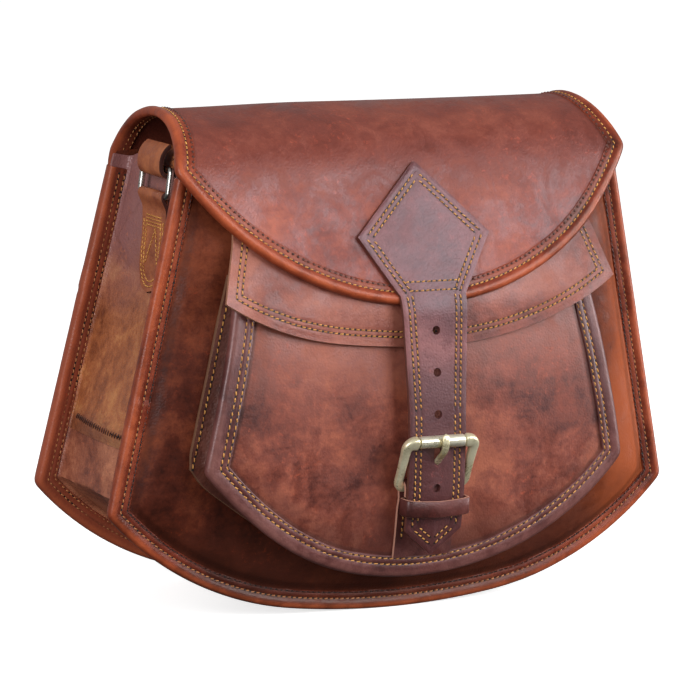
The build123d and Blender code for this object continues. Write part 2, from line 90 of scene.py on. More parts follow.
ROW_1, ROW_2 = 5.6, 8.7
POCKET_ROWS, COVER_ROWS, BILLET_ROWS = (6.9, 9.9), (4.6, 7.2), (3.3, 6.0)
STITCH, POCKET_STITCH, POCKET_STITCH_LENGTH = 2.9, 3.3, 2.4
STITCH_LENGTH_POINTS = 7
CUT_BULGE = 0.35
FAR_FROM_EDGE = 50.0

TAB_REACH = 13.5
STRAP_HALF, STRAP_ROW = 12.5, 9.8

# ---------------------------------------------------------------------------------------------
# Small tools

lattice = np.random.default_rng(5).random((40, 40, 40))


def unit(v):
    return v / np.linalg.norm(v, axis=-1, keepdims=True)


def noise(p, size, seed=0):
    """Smooth value noise between -1 and 1 at points in millimetres."""
    q = np.asarray(p, float) / size + seed * 7.77
    cell = np.floor(q).astype(int)
    f = q - cell
    f = f * f * (3 - 2 * f)
    total = 0
    for corner in np.ndindex(2, 2, 2):
        weight = np.prod(np.where(np.array(corner) == 1, f, 1 - f), axis=-1)
        at = (cell + corner) % 40
        total = total + weight * lattice[at[..., 0], at[..., 1], at[..., 2]]
    return total * 2 - 1


def ramp(x, low, high):
    """Smooth step from 0 at low to 1 at high."""
    t = np.clip((np.asarray(x, float) - low) / (high - low), 0, 1)
    return t * t * (3 - 2 * t)


def bump(x, centre, width):
    return np.exp(-(((np.asarray(x, float) - centre) / width) ** 2))


def run_of(line):
    """Length along a polyline at each of its points."""
    return np.concatenate([[0], np.cumsum(np.linalg.norm(np.diff(line, axis=0), axis=1))])


def heading(line):
    """Direction of a polyline at each of its points."""
    return unit(np.vstack([line[1] - line[0], line[2:] - line[:-2], line[-1] - line[-2]]))


def read_line(at, run, line):
    """A polyline's values at lengths along it."""
    return np.stack([np.interp(at, run, line[:, k]) for k in range(line.shape[1])], 1)


def turns(count):
    """Even angles round a full turn."""
    return np.linspace(0, 2 * pi, count + 1)[:-1]


def rounded(turn, power):
    """A circle's two parts, squared off by a power below 1."""
    return [np.sign(f(turn)) * np.abs(f(turn)) ** power for f in (np.cos, np.sin)]


def arc(centre, radius, angles):
    return [(centre[0] + radius * cos(t), centre[1] + radius * sin(t)) for t in angles]


def upright(x, z):
    """Points in the plane y = 0."""
    return np.stack([x, np.zeros_like(x), z], -1)


def even(line, step, ends=(0.0, 0.0)):
    """A polyline resampled at even steps along its length, short of its ends by the given margins."""
    run = run_of(line)
    span = run[-1] - ends[0] - ends[1]
    count = max(int(round(span / step)), 1)
    return read_line(ends[0] + np.linspace(0, span, count + 1), run, line)


def smooth_path(points, step, rounds):
    """A polyline resampled at even steps with its corners relaxed."""
    p = even(np.array(points, float), step)
    for _ in range(rounds):
        p[1:-1] = 0.25 * p[:-2] + 0.5 * p[1:-1] + 0.25 * p[2:]
    return even(p, step)


def surface_normal(surface, a, b):
    e = 0.4
    across = surface(a + e, b) - surface(a - e, b)
    along = surface(a, b + e) - surface(a, b - e)
    return unit(np.cross(across, along))


def lift(surface, a, b, height):
    """Points at a height above a surface. Every surface has a to the right and b upwards, seen from outside."""
    a, b = np.broadcast_arrays(np.asarray(a, float), np.asarray(b, float))
    height = np.broadcast_to(np.asarray(height, float), a.shape)
    return surface(a, b) + surface_normal(surface, a, b) * height[..., None]


def distance_to(path, a, b):
    """Distance from points in a surface's own plane to its edge path."""
    points = np.stack([a, b], -1).reshape(-1, 2)
    best = np.full(len(points), 1e9)
    for s, d in zip(path[:-1], np.diff(path, axis=0)):
        t = np.clip(((points - s) @ d) / (d @ d), 0, 1)
        best = np.minimum(best, np.linalg.norm(points - s - t[:, None] * d, axis=1))
    return best.reshape(np.shape(a))


def make_mesh(name, points, faces, material, edge=None):
    """An object from points in millimetres, with its rest place and edge distance kept for the material."""
    points = np.asarray(points, float).reshape(-1, 3)
    mesh = bpy.data.meshes.new(name)
    mesh.from_pydata(((points + ORIGIN) * MM).tolist(), [], faces)
    rest = mesh.attributes.new("rest", "FLOAT_VECTOR", "POINT")
    rest.data.foreach_set("vector", points.astype(np.float32).ravel())
    margin = mesh.attributes.new("edge", "FLOAT", "POINT")
    far = np.full(len(points), FAR_FROM_EDGE) if edge is None else np.asarray(edge, float).ravel()
    margin.data.foreach_set("value", far.astype(np.float32))
    mesh.polygons.foreach_set("use_smooth", [True] * len(mesh.polygons))
    mesh.materials.append(material)
    mesh.validate()
    mesh.update()
    piece = bpy.data.objects.new(name, mesh)
    bpy.context.scene.collection.objects.link(piece)
    return piece


def outward(piece, sharp=50):
    """Face normals made to point out, and edges sharper than an angle kept crisp."""
    work = bmesh.new()
    work.from_mesh(piece.data)
    bmesh.ops.recalc_face_normals(work, faces=work.faces)
    work.to_mesh(piece.data)
    work.free()
    piece.data.set_sharp_from_angle(angle=radians(sharp))
    return piece


def grid_faces(rows, columns, start=0, wrap=False, flip=False, closed=False):
    """Quads of a grid of points, row by row; wrap joins its last column to the first, closed its rows."""
    down, across = rows if closed else rows - 1, columns if wrap else columns - 1
    i, j = np.meshgrid(np.arange(down), np.arange(across), indexing="ij")
    k, n = (j + 1) % columns, (i + 1) % rows
    quads = np.stack([i * columns + j, i * columns + k, n * columns + k, n * columns + j], -1)
    quads = quads.reshape(-1, 4) + start
    return (quads[:, ::-1] if flip else quads).tolist()


def tube(name, grid, material, edge=None):
    """A closed skin round a section swept along a path, with both ends capped."""
    rows, columns = grid.shape[:2]
    faces = grid_faces(rows, columns, wrap=True)
    faces.append(list(range(columns))[::-1])
    faces.append([(rows - 1) * columns + j for j in range(columns)])
    return outward(make_mesh(name, grid, faces, material, edge))


def shell(name, outer, inner, material, edge):
    """A sheet with two faces and a slightly rounded cut edge all round."""
    rows, columns = outer.shape[:2]
    loop = [(0, j) for j in range(columns)] + [(i, columns - 1) for i in range(1, rows)]
    loop += [(rows - 1, j) for j in range(columns - 2, -1, -1)] + [(i, 0) for i in range(rows - 2, 0, -1)]
    loop = np.array(loop)
    inside = np.clip(loop, 1, [rows - 2, columns - 2])
    rim_out, rim_in = outer[loop[:, 0], loop[:, 1]], inner[loop[:, 0], loop[:, 1]]
    away = unit(rim_out - outer[inside[:, 0], inside[:, 1]] + 1e-9)
    rim = (rim_out + rim_in) / 2 + away * CUT_BULGE
    count = rows * columns
    faces = grid_faces(rows, columns) + grid_faces(rows, columns, count, flip=True)
    flat = loop[:, 0] * columns + loop[:, 1]
    for k in range(len(loop)):
        n = (k + 1) % len(loop)
        middle, after = 2 * count + k, 2 * count + n
        faces.append([int(flat[k]), int(middle), int(after), int(flat[n])])
        faces.append([int(middle), int(flat[k] + count), int(flat[n] + count), int(after)])
    points = np.concatenate([outer.reshape(-1, 3), inner.reshape(-1, 3), rim])
    margins = np.concatenate([edge.ravel(), edge.ravel(), np.full(len(loop), -1.0)])
    return outward(make_mesh(name, points, faces, material, margins))


def sheet_on(name, surface, a, b, relief, thickness, material, edge):
    """A leather sheet lying on a surface, with its outer face raised by a relief."""
    relief = np.broadcast_to(np.asarray(relief, float), a.shape)
    return shell(name, lift(surface, a, b, relief), lift(surface, a, b, relief - thickness), material, edge)


def join(name, pieces):
    """One object out of several."""
    with bpy.context.temp_override(active_object=pieces[0], selected_editable_objects=pieces):
        bpy.ops.object.join()
    pieces[0].name = name
    return pieces[0]


def crease(x, spots, depth=0.35, width=0.75):
    """Relief of stitch rows pressed into leather at these distances from the edge."""
    return -depth * sum(bump(x, spot, width) for spot in spots)


class Edge:
    """The edge of a piece in its surface's own plane, made of smooth sides that meet at corners.

    Sides run anticlockwise, so the leather is on their left. Offset lines meet at a mitre, and the
    cross lines turn towards it over a short length."""

    def __init__(self, sides, step=1.6, skew=15.0):
        sides = [even(np.array(side, float), step) for side in sides]
        tangents = [heading(s) for s in sides]
        turns = [0.0]
        for before, after in zip(tangents[:-1], tangents[1:]):
            cross = before[-1][0] * after[0][1] - before[-1][1] * after[0][0]
            turns.append(tan(asin(max(-1.0, min(1.0, cross))) / 2))
        turns.append(0.0)
        points, inward = [], []
        for k, (side, along) in enumerate(zip(sides, tangents)):
            length = run_of(side)
            lean = turns[k] * np.clip(1 - length / skew, 0, 1)
            lean = lean - turns[k + 1] * np.clip(1 - (length[-1] - length) / skew, 0, 1)
            normal = np.stack([-along[:, 1], along[:, 0]], 1)
            first = 0 if k == 0 else 1
            points.append(side[first:])
            inward.append((normal + along * lean[:, None])[first:])
        self.points = np.concatenate(points)
        self.inward = np.concatenate(inward)
        self.corners = [len(np.concatenate(points[: k + 1])) - 1 for k in range(len(points) - 1)]

    def at(self, inset):
        """The line this far inside the edge."""
        return self.points + self.inward * np.asarray(inset, float)[..., None]

    def distance(self, a, b):
        return distance_to(self.points, a, b)


def binding(name, surface, edge, section, material, wave, seed, laps=()):
    """Binding folded over an edge: a rolled rim, a lip sewn down on the face and one behind.

    Its two ends lap over at each of the places in laps."""
    section = np.asarray(section, float)
    inset, rise = section[None, :, 0], section[None, :, 1]
    inward = edge.inward[:, None, :]
    spots = edge.points[:, None, :] + inward * section[None, :, :1]
    swell = noise(np.concatenate([spots, np.zeros(spots.shape[:2] + (1,))], -1), 13.0, seed) * wave
    heights = rise * (1 + 0.10 * swell) + 0.12 * swell * (rise > 0)
    for place in laps:
        run = run_of(edge.points)
        run = run - run[np.argmin(np.linalg.norm(edge.points - np.array(place), axis=1))]
        step = (0.3 * ramp(run, 0, 1.6) * ramp(14 - run, 0, 11) - 0.35 * bump(run, -1.0, 0.9))[:, None]
        heights = heights + step * (rise > -2.2)
        spots = spots - inward * (0.35 * step * (inset < 3))[..., None]
    spots = spots - inward * (0.35 * swell * (section[:, 0] > 7))[..., None]
    grid = lift(surface, spots[..., 0], spots[..., 1], heights)
    for k in edge.corners:
        if 4 < k < len(grid) - 4:
            soft = ramp(5.5 - np.abs(section[:, 0]), 0, 4)[None, :, None]
            for _ in range(3):
                part = grid[k - 4:k + 5]
                mean = 0.25 * part[:-2] + 0.5 * part[1:-1] + 0.25 * part[2:]
                grid[k - 3:k + 4] = grid[k - 3:k + 4] * (1 - soft) + mean * soft
    return tube(name, grid, material, np.broadcast_to(inset, grid.shape[:2]))


def stitch_places(line, up, pitch, shift=0.0):
    """Lengths along a line at even stitches, and a function that reads the line's places and normals there."""
    run = run_of(line)
    count = max(int((run[-1] - 0.5) // pitch), 0)
    at = (run[-1] - (count - 1) * pitch) / 2 + pitch * (np.arange(count) + shift)
    return at, lambda at: (read_line(at, run, line), unit(read_line(at, run, up)))


def stitches(lines, pitch, length=2.15, radius=0.34, slant=0.20, proud=0.24):
    """Vertices and faces of rows of stitches. Each line is (points, normals) close along a row."""
    rng = np.random.default_rng(3)
    points, faces = [], []
    turn = turns(6)
    t = np.linspace(-1, 1, STITCH_LENGTH_POINTS)
    for line, up in lines:
        at, read = stitch_places(line, up, pitch)
        if not len(at):
            continue
        at = at + rng.uniform(-0.12, 0.12, len(at))
        centre, normal = read(at)
        along = unit(read(at + 0.5)[0] - read(at - 0.5)[0])
        side = unit(np.cross(normal, along))
        lean = slant + rng.uniform(-0.07, 0.07, len(at))
        run = unit(along + side * lean[:, None])
        across = unit(np.cross(normal, run))
        size = rng.uniform(0.92, 1.06, len(at))
        rise = (proud * (1 - np.abs(t) ** 2.4) - 0.38 * np.abs(t) ** 5)[:, None]
        thick = radius * (1 - 0.45 * np.abs(t) ** 3)
        for k in range(len(at)):
            body = centre[k] + run[k] * (t * length / 2 * size[k])[:, None] + normal[k] * rise
            ring = np.cos(turn)[None, :, None] * across[k] + 0.85 * np.sin(turn)[None, :, None] * normal[k]
            first = len(points) * 42
            points.append(body[:, None, :] + ring * thick[:, None, None])
            faces += grid_faces(7, 6, first, wrap=True)
            faces += [[first + j for j in range(6)][::-1], [first + 36 + j for j in range(6)]]
    return np.concatenate(points).reshape(-1, 3), faces


def holes(lines, pitch):
    """Vertices and faces of the needle holes between stitches: small dark dimples with a rim."""
    rng = np.random.default_rng(3)
    points, faces = [], []
    turn = turns(8)
    for line, up in lines:
        at, read = stitch_places(line, up, pitch, 0.5)
        if not len(at):
            continue
        centre, normal = read(at)
        along = unit(read(at + 0.5)[0] - centre + 1e-9)
        side = unit(np.cross(normal, along))
        size = 0.52 * rng.uniform(0.85, 1.15, len(at))
        for k in range(len(at)):
            ring = (np.cos(turn)[:, None] * along[k] + np.sin(turn)[:, None] * side[k]) * size[k]
            first = len(points) * 16
            top, low = centre[k] + ring + normal[k] * 0.10, centre[k] + ring * 0.8 - normal[k] * 0.5
            points.append(np.concatenate([top, low]))
            faces += grid_faces(2, 8, first, wrap=True)
            faces += [[first + j for j in range(8)], [first + 8 + j for j in range(8)][::-1]]
    return np.concatenate(points), faces


def sew(name, lines, material, pitch=STITCH, pierced=True, **looks):
    """Rows of stitches, with the dark needle holes between them."""
    piece = make_mesh(name, *stitches(lines, pitch, **looks), material)
    if pierced:
        piece = join(name, [piece, make_mesh(name + "_holes", *holes(lines, pitch), HOLE)])
    return outward(piece, 80)


def row(surface, edge, inset, height=0.0, ends=(1.5, 1.5)):
    """A stitch row at an inset from an edge, as (points, normals)."""
    flat = edge.at(inset) if isinstance(edge, Edge) else np.array(edge, float)
    a, b = even(flat, 1.0, ends).T
    return lift(surface, a, b, height), surface_normal(surface, a, b)


def row_behind(surface, edge, inset, height):
    """The same row where it comes out on the other side."""
    places, up = row(surface, edge, inset, height)
    return places, -up


def seam(surface, flat, height=0.0, ends=(0.5, 0.5)):
    return row(surface, flat, 0, height, ends)


def pair_of_rows(surface, across, start, stop, height):
    """Two straight rows along a strap, as far from its middle on both sides."""
    return [seam(surface, np.array([[a, start], [a, stop]]), height) for a in (-across, across)]


# ---------------------------------------------------------------------------------------------
# Surfaces

def flank():
    """Centre and radius of the body's right flank arc, tangent to the belly arc."""
    lift_angle = asin(BELLY_HALF / BELLY_RADIUS)
    end = np.array([BELLY_HALF, BELLY_RADIUS - BELLY_RADIUS * cos(lift_angle)])
    normal = np.array([-sin(lift_angle), cos(lift_angle)])
    chord = np.array([CORNER_X, CORNER_Z]) - end
    radius = chord @ chord / (2 * chord @ normal)
    return end + radius * normal, radius


FLANK_CENTRE, FLANK_RADIUS = flank()


def half_width(z):
    return CORNER_X - SIDE_SLOPE * (np.asarray(z, float) - CORNER_Z)


def belly(x):
    """Height of the body's lower edge."""
    x = np.minimum(np.abs(x), CORNER_X + 20)
    middle = BELLY_RADIUS - np.sqrt(BELLY_RADIUS**2 - x**2)
    out = np.maximum(FLANK_RADIUS**2 - (x - FLANK_CENTRE[0]) ** 2, 1.0)
    return np.where(x < BELLY_HALF, middle, FLANK_CENTRE[1] - np.sqrt(out))


def three_sided(half, z, low_x, low_z):
    """Edge with two mirrored sides, given by their half widths downwards, and a foot between them."""
    left = np.stack([-half, z], 1)
    return Edge([left, np.stack([low_x, low_z], 1), left[::-1] * [-1, 1]])


def body_edge(top):
    z = np.linspace(top, CORNER_Z, 60)
    x = np.linspace(-CORNER_X, CORNER_X, 400)
    return three_sided(half_width(z), z, x, belly(x))


def soft_min(a, b, k):
    return -k * np.log(np.exp(-a / k) + np.exp(-b / k))


def body_inset(x, z):
    """Distance inside the body outline, rounded off towards its corners."""
    side = (half_width(z) - np.abs(x)) * cos(np.arctan(SIDE_SLOPE))
    steep = np.gradient(belly(np.linspace(0, 152, 153)))
    slope = np.interp(np.abs(x), np.arange(153), steep)
    low = (z - belly(x)) / np.sqrt(1 + slope**2)
    return soft_min(side, low, 5.0)


def front(x, z):
    """Front panel: flat in its seam, then puffed out, and falling back behind the flap."""
    deep = np.maximum(body_inset(x, z) - 9.5, 0)
    puff = 10.0 * (1 - np.exp(-deep / 10.5)) * (1 - ramp(z, 180, 208))
    p = upright(x, z)
    puff = puff + ramp(deep, 0, 16) * (0.9 * noise(p, 46, 1) + 0.35 * noise(p, 17, 2)) * (1 - ramp(z, 180, 204))
    return np.stack([x, FRONT_FACE - puff, z], -1)


def flat_front(x, z):
    return np.stack([x, np.full_like(x, FRONT_FACE), z], -1)


def back_y(z):
    return BACK_FOOT - (z - 5 * sin(BACK_LEAN)) * tan(BACK_LEAN)


def back(a, z):
    """Back panel's outer face, seen from behind."""
    return np.stack([-a, back_y(z), z], -1)


def slack_back(a, z):
    """The same with a little slack in the leather between its seams."""
    p = upright(a, z)
    inner = ramp(body_inset(a, z), 9, 40) * (1 - ramp(z, 196, 212))
    y = back_y(z) - inner * (1.1 + 0.9 * noise(p, 60, 3) + 0.3 * noise(p, 21, 4))
    return np.stack([-a, y, z], -1)


def flap_profile():
    """The flap's outer line in the Y-Z plane by length from the hinge, forwards over the arch."""
    s = np.arange(-40.0, 215.0, 0.25)
    hinge = asin((HINGE_Z - ARCH_Z) / ARCH_RADIUS)
    arch = hinge + s / ARCH_RADIUS
    behind = BACK_LEAN + (hinge - BACK_LEAN) * np.clip(1 + s / 8.0, 0, 1)
    angle = np.where(s < 0, behind, np.minimum(arch, pi - FALL))
    y, z = -np.sin(angle), np.cos(angle)
    step = 0.125
    line = np.stack([y, z], 1)
    line = np.concatenate([[[0, 0]], np.cumsum((line[1:] + line[:-1]) * step, axis=0)])
    origin = line[np.searchsorted(s, 0.0)]
    return s, line - origin + [HINGE_Y, HINGE_Z]


FLAP_S, FLAP_LINE = flap_profile()


def flap(x, b):
    """Flap's outer face. b is minus the length from the hinge, so that it grows towards the back."""
    b = b + 5.0 * ramp(x, 70, 121) * bump(b, -106, 34) * ramp(-b, 20, 70)
    y = np.interp(-b, FLAP_S, FLAP_LINE[:, 0])
    z = np.interp(-b, FLAP_S, FLAP_LINE[:, 1])
    p = np.stack([x, y, z], -1)
    on_arch = bump(-b, 62, 34) * (1 - (x / 125) ** 2)
    free = ramp(-b, 100, 150)
    sag = -1.3 * on_arch + 0.8 * free * (0.9 * noise(p, 52, 5) + 0.4 * noise(p, 20, 6))
    tilt = np.clip((-b - 113) / 60, -1, 1) * 0.35
    drop = 2.4 * ramp(-x, 30, 118) * bump(b, -60, 40) * ramp(-b, 8, 40)
    return np.stack([x, y - sag * np.clip(0.3 + tilt, 0, 1), z - drop + sag * (1 - 0.6 * free)], -1)


def flap_length(z):
    """Length from the hinge at which the flap comes down to a level in front."""
    front_part = FLAP_S > 65
    return np.interp(-np.asarray(z, float), -FLAP_LINE[front_part, 1], FLAP_S[front_part])


def flap_half(s):
    """Flap's half width at lengths from the hinge."""
    top, widths = 118.0, [118.0, 114.5, 123.0]
    fit = np.polyfit([0.0, 39.7, 106.0], widths, 2)
    return np.where(s < 0, top - s * 0.05, np.polyval(fit, s))


def flap_foot(x, radius=FLAP_RADIUS):
    """Length from the hinge of the flap's round foot."""
    return flap_length(FLAP_CENTRE_Z - np.sqrt(radius**2 - x**2))


def flap_edge():
    s = np.linspace(-15.0, 106.0, 130)
    x = np.linspace(-FLAP_CORNER, FLAP_CORNER, 300)
    return three_sided(flap_half(s), -s, x, -flap_foot(x))


def pocket_circle():
    (y1, z1), (y2, z2), (y3, z3) = (-65.9, 170.0), (-78.0, 95.0), (-71.0, 20.0)
    system = np.array([[y2 - y1, z2 - z1], [y3 - y1, z3 - z1]]) * 2
    right = [y2**2 + z2**2 - y1**2 - z1**2, y3**2 + z3**2 - y1**2 - z1**2]
    centre = np.linalg.solve(system, right)
    return centre, np.hypot(y1 - centre[0], z1 - centre[1])


POCKET_CENTRE, POCKET_ROUND = pocket_circle()


def pocket_raise(x, z):
    """The pocket's left corner sits a little higher than its right one."""
    return 5.0 * ramp(-np.asarray(x, float), 40, 108) * bump(z, 70, 55)


def pocket(x, z):
    """Pocket's front: bowed outwards up its middle and bent back towards its sides."""
    z = z + pocket_raise(x, z)
    y = POCKET_CENTRE[0] - np.sqrt(POCKET_ROUND**2 - (z - POCKET_CENTRE[1]) ** 2)
    y = y + 4.6 * np.abs(np.clip(x / 114, -1.2, 1.2)) ** 2.5
    p = upright(x, z)
    y = y + 0.55 * noise(p, 58, 7) + 0.25 * noise(p, 22, 8)
    return np.stack([x, y, z], -1)


def pocket_low(x):
    return POCKET_FOOT + POCKET_RADIUS - np.sqrt(POCKET_RADIUS**2 - np.minimum(np.abs(x), 146) ** 2)


POCKET_CORNER_Z = float(pocket_low(POCKET_CORNER_X))


def pocket_half(z):
    return POCKET_CORNER_X - POCKET_SLOPE * (z - POCKET_CORNER_Z)


def pocket_edge():
    z = np.linspace(POCKET_TOP, POCKET_CORNER_Z, 50)
    x = np.linspace(-POCKET_CORNER_X, POCKET_CORNER_X, 300)
    return three_sided(pocket_half(z), z, x, pocket_low(x))


def cover(x, b):
    """Pocket flap's outer face by the height along it, with a soft bend at its fold."""
    under = (LEATHER + TRIM + 0.4) / cos(FALL)
    falling = FLAP_S > 65
    def at(z):
        return float(np.interp(-z, -FLAP_LINE[falling, 1], FLAP_LINE[falling, 0])) + under, z
    spots = [(FRONT_FACE - 2.4, 212.0), (FRONT_FACE - 2.4, 204.0), at(189.0), at(155.0), (-77.0, 134.0), (-76.4, 126.0)]
    line = smooth_path(spots, 1.0, 26)
    y = np.interp(-b, -line[:, 1], line[:, 0])
    side = np.abs(np.clip(x / 105, -1.2, 1.2)) ** 2.6
    y = y + 1.6 * side * (1 - ramp(b, 168, 196)) + 0.35 * noise(upright(x, b), 40, 9) * (1 - ramp(b, 180, 200))
    low = np.clip((COVER_TOP - b) / (COVER_TOP - COVER_CORNER_Z), 0, 1.6)
    return np.stack([x + 2.4 * low, y, b - 4.6 * low * ramp(-x, 15, 105)], -1)


def cover_low(x):
    """Height of the pocket flap's round foot."""
    centre_z = (COVER_CORNER_X**2 + COVER_CORNER_Z**2 - COVER_FOOT**2) / (2 * (COVER_CORNER_Z - COVER_FOOT))
    return centre_z - np.sqrt((centre_z - COVER_FOOT) ** 2 - x**2)


def cover_edge():
    z = np.linspace(COVER_TOP, COVER_CORNER_Z, 30)
    half = COVER_CORNER_X + (COVER_TOP_X - COVER_CORNER_X) * (z - COVER_CORNER_Z) / (COVER_TOP - COVER_CORNER_Z)
    x = np.linspace(-COVER_CORNER_X, COVER_CORNER_X, 240)
    return three_sided(half, z, x, cover_low(x))


# ---------------------------------------------------------------------------------------------
# Materials


class Nodes:
    """A short way to write a node tree."""

    def __init__(self, name):
        self.material = bpy.data.materials.new(name)
        self.material.use_nodes = True
        self.tree = self.material.node_tree
        self.shader = self.tree.nodes["Principled BSDF"]

    def add(self, kind, inputs=None, **settings):
        node = self.tree.nodes.new(kind)
        for key, value in settings.items():
            setattr(node, key, value)
        for key, value in (inputs or {}).items():
            self.put(node.inputs[key], value)
        return node

    def put(self, socket, value):
        if isinstance(value, bpy.types.NodeSocket):
            self.tree.links.new(value, socket)
        else:
            socket.default_value = value

    def read(self, name, output):
        """A value kept at the mesh's points."""
        return self.add("ShaderNodeAttribute", attribute_name=name, attribute_type="GEOMETRY").outputs[output]

    def noise(self, vector, size, detail=4.0, rough=0.55, warp=0.0):
        inputs = {"Vector": vector, "Scale": 1 / size, "Detail": detail, "Roughness": rough, "Distortion": warp}
        return self.add("ShaderNodeTexNoise", inputs).outputs["Fac"]

    def cells(self, vector, size, feature="F1"):
        inputs = {"Vector": vector, "Scale": 1 / size}
        return self.add("ShaderNodeTexVoronoi", inputs, feature=feature).outputs["Distance"]

    def times(self, a, b):
        return self.math("MULTIPLY", a, b)

    def total(self, *parts):
        """The sum of values by their shares."""
        sum_so_far = None
        for value, share in parts:
            scaled = self.times(value, share)
            sum_so_far = scaled if sum_so_far is None else self.math("ADD", sum_so_far, scaled)
        return sum_so_far

    def math(self, operation, a, b=0.0):
        return self.add("ShaderNodeMath", {0: a, 1: b}, operation=operation).outputs[0]

    def span(self, value, low, high, to_low=0.0, to_high=1.0):
        inputs = {"Value": value, "From Min": low, "From Max": high, "To Min": to_low, "To Max": to_high}
        return self.add("ShaderNodeMapRange", inputs, interpolation_type="SMOOTHSTEP").outputs[0]

    def ramp(self, value, stops):
        node = self.add("ShaderNodeValToRGB", {"Fac": value})
        marks = node.color_ramp.elements
        while len(marks) < len(stops):
            marks.new(0.5)
        for mark, (at, colour) in zip(marks, stops):
            mark.position, mark.color = at, (*colour, 1)
        return node.outputs["Color"]

    def mix(self, share, a, b, blend="MIX"):
        node = self.add("ShaderNodeMix", data_type="RGBA", blend_type=blend)
        self.put(node.inputs[0], share)
        for socket, value in ((node.inputs[6], a), (node.inputs[7], b)):
            self.put(socket, value if isinstance(value, bpy.types.NodeSocket) else (*value, 1))
        return node.outputs[2]

    def stretch(self, vector, scale):
        return self.add("ShaderNodeVectorMath", {0: vector, 1: scale}, operation="MULTIPLY").outputs[0]

    def shade(self, inputs):
        for key, value in inputs.items():
            self.put(self.shader.inputs[key], value)

    def relief(self, height, strength, distance):
        node = self.add("ShaderNodeBump", {"Height": height, "Strength": strength, "Distance": distance})
        self.shade({"Normal": node.outputs[0]})


def srgb(*channels):
    """Linear colour from eight-bit display values."""
    return tuple((c / 255 / 12.92) if c <= 10 else ((c / 255 + 0.055) / 1.055) ** 2.4 for c in channels)


def dimmed(colour, factor):
    return tuple(c * factor for c in colour)


def leather(name, dark, mid, light, rough=(0.37, 0.70), grain=1.0, rim=None, seams=(), edge_rub_and_highlight=None, coat=0.08,
            tint_and_light_patches=(), crack=0.04, sheen=(1.0, 0.86, 0.88), shine=0.5):
    """Waxed leather: cloudy tone, blotches, rub marks, pores, creases, edges with wear or wax, and painted light and
    shade.

    A patch is (axis, from, to, raggedness, colour, share) along one of the bag's axes; most of them are painted light
    and painted shade. A seam is (distance, width, share), a darker band: a dark joint at a stitch row, painted shade
    beside a binding's lip. The edge band is (from, to, colour, share), rubbed wear with a painted highlight; both are
    measured from the piece's edge."""
    n = Nodes(name)
    rest, edge = n.read("rest", "Vector"), n.read("edge", "Fac")
    cloud = n.noise(rest, 70, 4, 0.55, 0.6)
    blotch = n.noise(n.stretch(rest, (1.0, 1.0, 0.8)), 17, 6, 0.62, 0.9)
    rub = n.noise(n.stretch(rest, (0.35, 1.0, 1.6)), 11, 5, 0.6, 0.4)
    fine = n.noise(rest, 1.9, 4, 0.6)
    mottle = n.noise(rest, 5.2, 5, 0.68, 0.5)
    tone = n.total((cloud, 0.40), (blotch, 0.26), (rub, 0.12), (mottle, 0.14), (fine, 0.08))
    colour = n.ramp(tone, [(0.405, dark), (0.50, mid), (0.60, light)])
    # Each patch lays a colour along one of the bag's axes; most are painted light and painted shade for how the lamps
    # fall on a part.
    for axis, low, high, warp, tint, share in tint_and_light_patches:
        place = n.add("ShaderNodeSeparateXYZ", {0: rest}).outputs[axis]
        ragged = n.times(n.math("SUBTRACT", n.noise(rest, 24, 3, 0.6), 0.5), warp)
        colour = n.mix(n.times(n.span(n.math("ADD", place, ragged), low, high), share), colour, tint)
    spots = n.times(n.span(n.cells(rest, 6.5), 0.13, 0.05), n.span(n.noise(rest, 30, 2), 0.45, 0.62))
    colour = n.mix(n.times(spots, 0.35), colour, dimmed(dark, 0.35))
    warped = n.add("ShaderNodeVectorMath", {0: rest}, operation="ADD")
    wander = n.add("ShaderNodeTexNoise", {"Vector": rest, "Scale": 1 / 14, "Detail": 3.0}).outputs["Color"]
    n.put(warped.inputs[1], n.stretch(wander, (16.0, 16.0, 16.0)))
    vein = n.span(n.cells(warped.outputs[0], 34, "DISTANCE_TO_EDGE"), 0.035, 0.0)
    vein = n.times(vein, n.span(n.noise(rest, 38, 2), 0.47, 0.66))
    colour = n.mix(n.times(vein, crack), colour, dimmed(dark, 0.45))
    flecks = n.span(n.noise(rest, 2.6, 5, 0.72, 0.6), 0.54, 0.70)
    flecks = n.times(flecks, n.span(n.noise(rest, 26, 3), 0.44, 0.62))
    warm = tuple(min(1.0, c * f) for c, f in zip(light, (1.25, 0.85, 0.75)))
    colour = n.mix(n.times(flecks, 0.45), colour, warm)
    # A lighter band by distance from the edge: rubbed wear together with a painted highlight along a binding's roll.
    if edge_rub_and_highlight:
        low, high, tint, share = edge_rub_and_highlight
        middle = (low + high) / 2
        rub_and_highlight_mask = n.times(n.span(edge, low, middle), n.span(edge, high, middle))
        rub_and_highlight_mask = n.times(rub_and_highlight_mask, n.span(blotch, 0.30, 0.68, 0.35, 1.0))
        colour = n.mix(n.times(rub_and_highlight_mask, share), colour, tint)
    # Darker bands by distance from the edge: dark joints at stitch rows, and painted shade beside a binding's lip.
    for centre, width, share in seams:
        away = n.math("ABSOLUTE", n.math("SUBTRACT", edge, centre))
        colour = n.mix(n.times(n.span(away, width, width * 0.25), share), colour, dimmed(dark, 0.3))
    if rim:
        raw = n.mix(n.noise(rest, 1.4, 3), dimmed(rim, 0.72), rim)
        colour = n.mix(n.span(edge, 0.15, -0.25), colour, raw)
    gloss = n.total((blotch, 0.45), (fine, 0.2), (n.noise(rest, 34, 4, 0.6, 0.5), 0.35))
    n.shade({"Base Color": colour, "Roughness": n.span(gloss, 0.42, 0.60, *rough), "Specular Tint": (*sheen, 1),
             "Specular IOR Level": shine, "Coat Tint": (*sheen, 1), "Coat Weight": coat, "Coat Roughness": 0.34})
    pores = n.span(n.cells(rest, 1.25), 0.0, 0.75)
    height = n.total((pores, 0.10 * grain), (n.noise(rest, 0.7, 3), 0.07 * grain),
                     (n.noise(rest, 6.5, 4, 0.6), 0.17 * grain))
    n.relief(n.math("SUBTRACT", height, n.times(vein, 0.9 * crack)), 0.85, 0.001)
    return n.material


